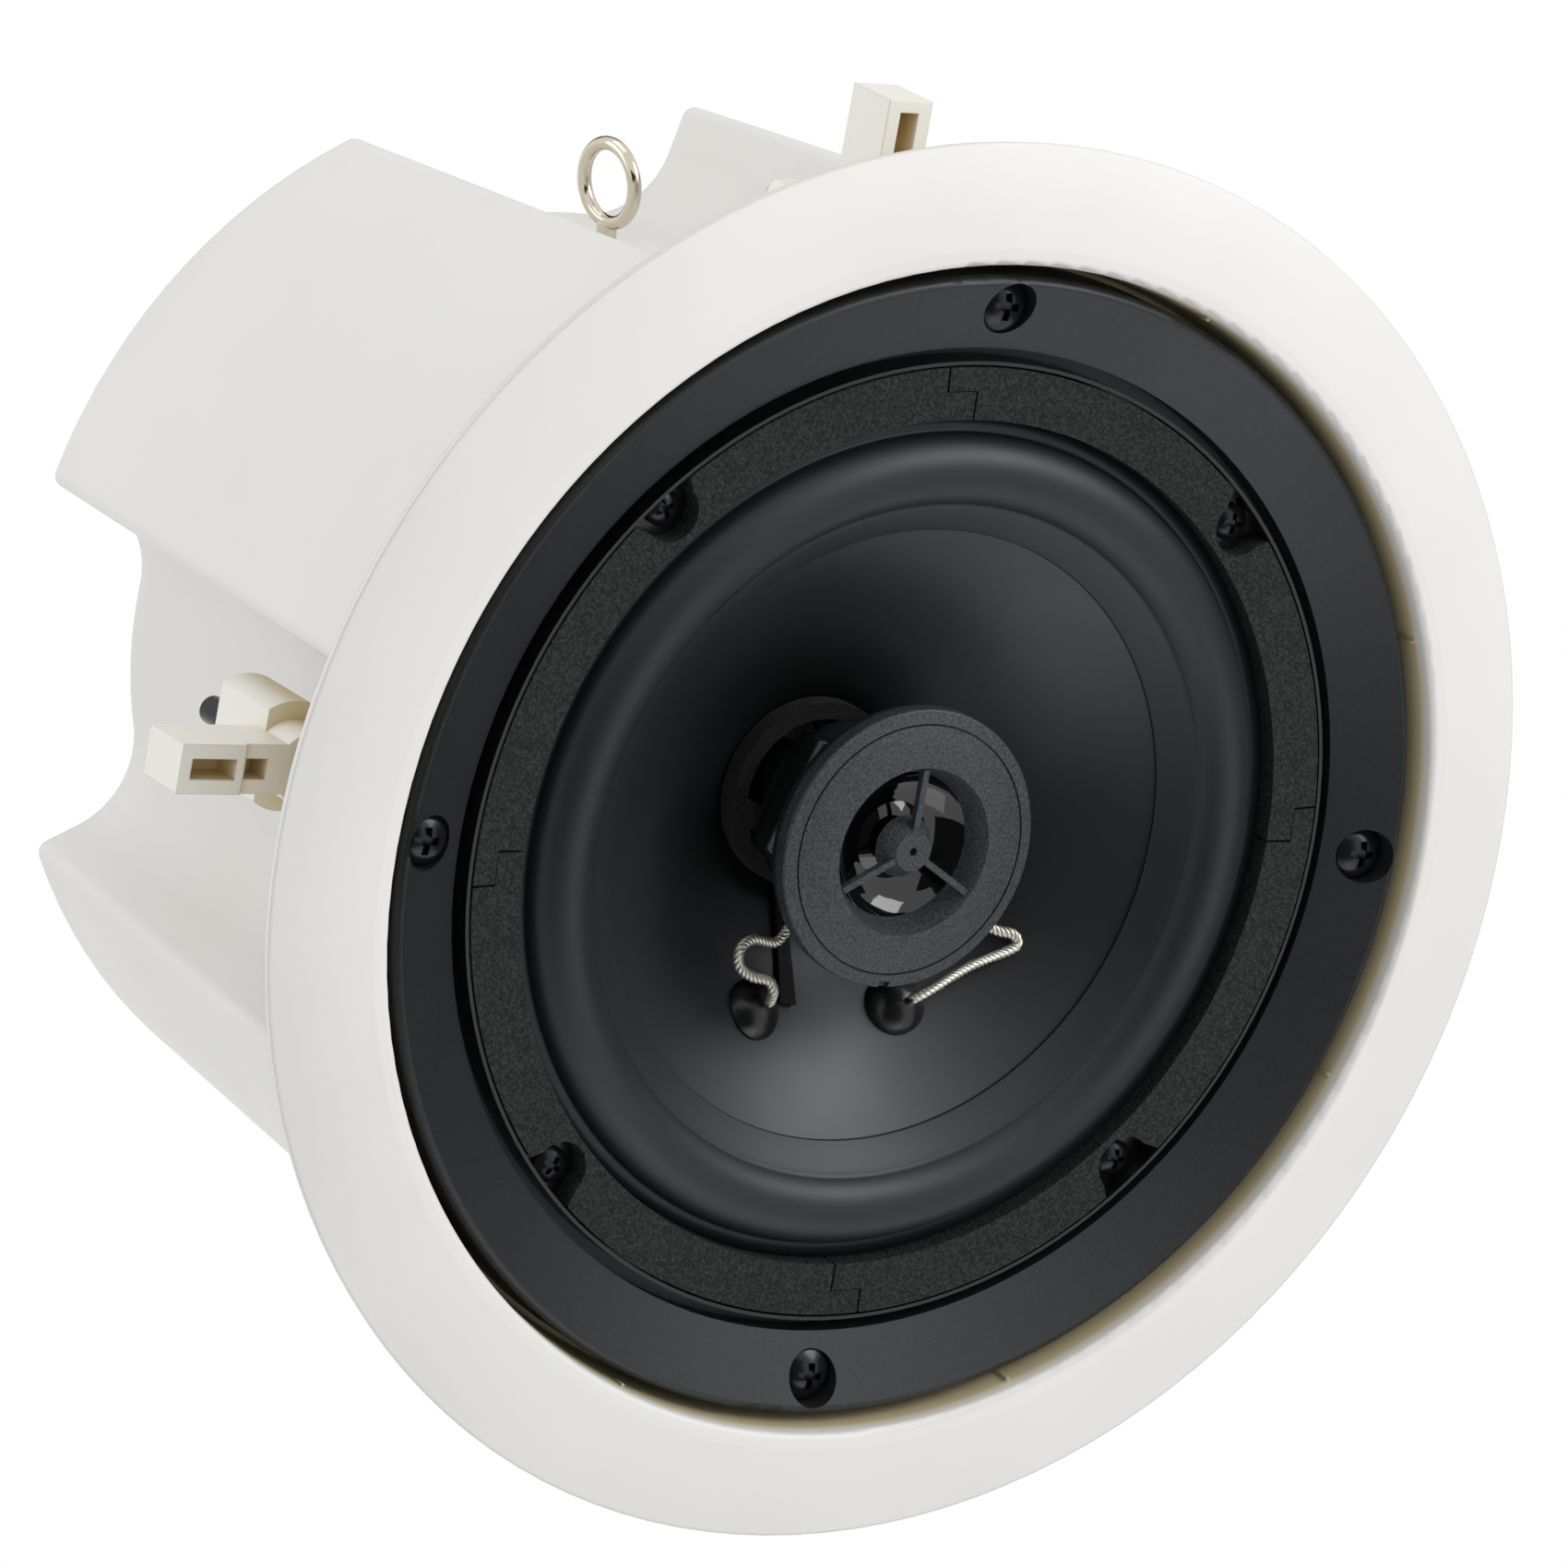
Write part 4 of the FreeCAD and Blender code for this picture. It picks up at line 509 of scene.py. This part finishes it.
# Dark grey ABS from a coarse mould: a sparkling grain.
guard_abs, shader, place = new_finish("abs_dark_grey_grained", "#26292b", 0.5, Specular_Tint=COOL)
grain = raise_grain(guard_abs, shader, place, spacing=0.4, depth=0.12, strength=0.6, detail=4.0)
shade = add_node(guard_abs, "ValToRGB", {"stops": [(0.38, "#212426"), (0.66, "#43484b")]}, {"Fac": grain})
join(guard_abs, shade.outputs["Color"], shader, "Base Color")
finish_nodes(guard_abs, "tweeter_bezel")

# Polyester film, vacuum formed and black: mirror smooth, with faint rings from its forming.
film, shader, place = new_finish("polyester_film_black", "#060707", 0.05, IOR=1.6)
ripple = add_node(film, "TexWave",
                  {"wave_type": "RINGS", "rings_direction": "Z", "Scale": per_mm(1.1) * WAVE},
                  {"Vector": place})
relief = add_node(film, "Bump", {"Strength": 0.06, "Distance": 0.00004}, {"Height": ripple.outputs["Fac"]})
join(film, relief.outputs["Normal"], shader, "Normal")
finish_nodes(film, "tweeter_diaphragm")
finish_nodes(black_abs, "tweeter_pod", "tweeter_mount", "tweeter_post")
finish_nodes(zinc, "tweeter_yoke", "tweeter_magnet")


# Capacitor: the tweeter's crossover part, a wound roll in a shrunk PVC sleeve.
# It is glued to the side of the tweeter's pod.

# Shrunk PVC: black and glossy, with soft creases.
sleeve, shader, place = new_finish("pvc_sleeve_black", "#0a0b0c", 0.2, IOR=1.53)
raise_grain(sleeve, shader, place, spacing=3.0, depth=0.2, strength=0.3, detail=2.0)
finish_nodes(sleeve, "capacitor")


# Eyebolt: steel wire bent to an eye on a threaded shank, for the safety wire.
# It goes through the wall of the top recess and has a zinc-plated nut inside the can.

# Nickel plate on steel: a bright warm mirror, with faint duller patches.
nickel, shader, place = new_finish("steel_nickel_plated", "#cfc7b5", 0.12, Metallic=1.0)
patchy_gloss(nickel, shader, place, spacing=3, smooth=0.06, rough=0.16)
finish_nodes(nickel, "eyebolt")
finish_nodes(zinc, "eyebolt_nut")


# Terminals: a block with four wire holes and its plate, moulded in black ABS as one.
# Two zinc-plated screws hold the plate to the back of the can.

finish_nodes(black_abs, "terminal_block")
finish_nodes(zinc, "terminal_screws")


# Studio: a pale floor under the speaker, which lies on its flange, soft lamps and the camera.
# The floor shows from above only, so that the camera below sees the speaker's front.

# The even light from all round. The camera and the reflections see it as plain white.
AMBIENT = 0.74
world = bpy.data.worlds.new("studio")
world.use_nodes = True
bpy.context.scene.world = world
light_path = add_node(world, "LightPath")
seen = add_node(world, "Math", {"operation": "ADD"},
                {0: light_path.outputs["Is Camera Ray"], 1: light_path.outputs["Is Glossy Ray"]})
seen = add_node(world, "Math", {"operation": "ADD", "use_clamp": True},
                {0: seen.outputs[0], 1: light_path.outputs["Is Transmission Ray"]})
strength = add_node(world, "MapRange", {"To Min": AMBIENT, "To Max": 1.0}, {"Value": seen.outputs[0]})
background = world.node_tree.nodes["Background"]
background.inputs["Color"].default_value = linear("#ffffff")
join(world, strength.outputs["Result"], background, "Strength")


def studio_card(name, half_width, material):
    """A flat square card that stands in the studio and isn't part of the speaker."""
    mesh = bpy.data.meshes.new(name)
    signs = ((-1, -1), (1, -1), (1, 1), (-1, 1))
    mesh.from_pydata([(half_width * x, half_width * y, 0) for x, y in signs], [], [(0, 1, 2, 3)])
    mesh.materials.append(material)
    card = bpy.data.objects.new(name, mesh)
    bpy.context.scene.collection.objects.link(card)
    return card


# Pale paper: matt and nearly white, shown to the camera from above and fading out towards its edges.
floor_paper = bpy.data.materials.new("paper_pale")
floor_paper.use_nodes = True
floor_paper.node_tree.nodes.remove(floor_paper.node_tree.nodes["Principled BSDF"])
light_path = add_node(floor_paper, "LightPath")
surface = add_node(floor_paper, "NewGeometry")
above = add_node(floor_paper, "Math", {"operation": "SUBTRACT", 0: 1.0}, {1: surface.outputs["Backfacing"]})
shown = add_node(floor_paper, "Math", {"operation": "MULTIPLY"},
                 {0: light_path.outputs["Is Camera Ray"], 1: above.outputs[0]})
away = add_node(floor_paper, "VectorMath", {"operation": "LENGTH"}, {0: surface.outputs["Position"]})
fade = add_node(floor_paper, "MapRange", {"From Min": 0.5, "From Max": 2.5, "To Min": 1.0, "To Max": 0.0},
                {"Value": away.outputs["Value"]})
shown = add_node(floor_paper, "Math", {"operation": "MULTIPLY"},
                 {0: shown.outputs[0], 1: fade.outputs["Result"]})
clear = add_node(floor_paper, "BsdfTransparent")
paper = add_node(floor_paper, "BsdfDiffuse", {"Color": linear("#f4f3f1")})
blend = add_node(floor_paper, "MixShader",
                 links={0: shown.outputs[0], 1: clear.outputs[0], 2: paper.outputs[0]})
join(floor_paper, blend.outputs[0], floor_paper.node_tree.nodes["Material Output"], "Surface")
FLOOR_GAP = 0.0002
floor = studio_card("floor", 4.0, floor_paper)
floor.location.z = cad_box[0].z - FLOOR_GAP


def soft_lamp(name, stand, size, power):
    """A square lamp that faces the speaker, with its size in metres and its power in watts."""
    light = bpy.data.lights.new(name, "AREA")
    light.shape = "SQUARE"
    light.size = size
    light.energy = power
    lamp = bpy.data.objects.new(name, light)
    lamp.location = stand
    lamp.rotation_euler = (-Vector(stand)).to_track_quat("-Z", "Y").to_euler()
    lamp.visible_camera = False
    bpy.context.scene.collection.objects.link(lamp)


# A key lamp in front, above and to the right, and three weaker ones below, to the left and above.
soft_lamp("key_above", (1.13, -1.35, -1.15), 1.1, 20)
soft_lamp("fill_below", (0.3, 1.6, -1.4), 1.0, 3)
soft_lamp("fill_left", (-1.8, -0.5, 0.9), 1.4, 5)
soft_lamp("fill_top", (-0.5, -1.9, 0.6), 1.4, 5)

# Black velvet flags, seen in reflections only: they give the glossy blacks their depth
# and the metal its dark edges.
velvet = bpy.data.materials.new("velvet_black")
velvet.use_nodes = True
velvet.node_tree.nodes["Principled BSDF"].inputs["Base Color"].default_value = linear("#1c1c1c")
for name, stand, half_width in (("flag_front", (-1.15, 0.15, -2.3), 1.7),
                                ("flag_right", (2.4, 0.3, -0.5), 1.2),
                                ("flag_back", (0.9, -0.5, 2.3), 1.0)):
    flag = studio_card(name, half_width, velvet)
    flag.location = stand
    flag.rotation_euler = Vector(stand).to_track_quat("Z", "Y").to_euler()
    for kind in ("camera", "diffuse", "transmission", "volume_scatter", "shadow"):
        setattr(flag, f"visible_{kind}", False)

# The camera faces the speaker's front and aims near the middle of the flange. Its turns are in degrees.
CAMERA_TURNS = (159.76, 31.0028, -11.6695)
CAMERA_AIM, CAMERA_DISTANCE = Vector((-0.01943, -0.00761, 0.00908)), 1.8
camera = bpy.data.cameras.new("camera")
camera.lens = 254.12
camera.sensor_width = 36
viewer = bpy.data.objects.new("camera", camera)
facing = Euler([math.radians(turn) for turn in CAMERA_TURNS])
stand = CAMERA_AIM + facing.to_matrix() @ Vector((0, 0, CAMERA_DISTANCE))
viewer.matrix_world = Matrix.LocRotScale(stand, facing, None)
bpy.context.scene.collection.objects.link(viewer)
bpy.context.scene.camera = viewer
bpy.context.scene.view_settings.view_transform = "Standard"
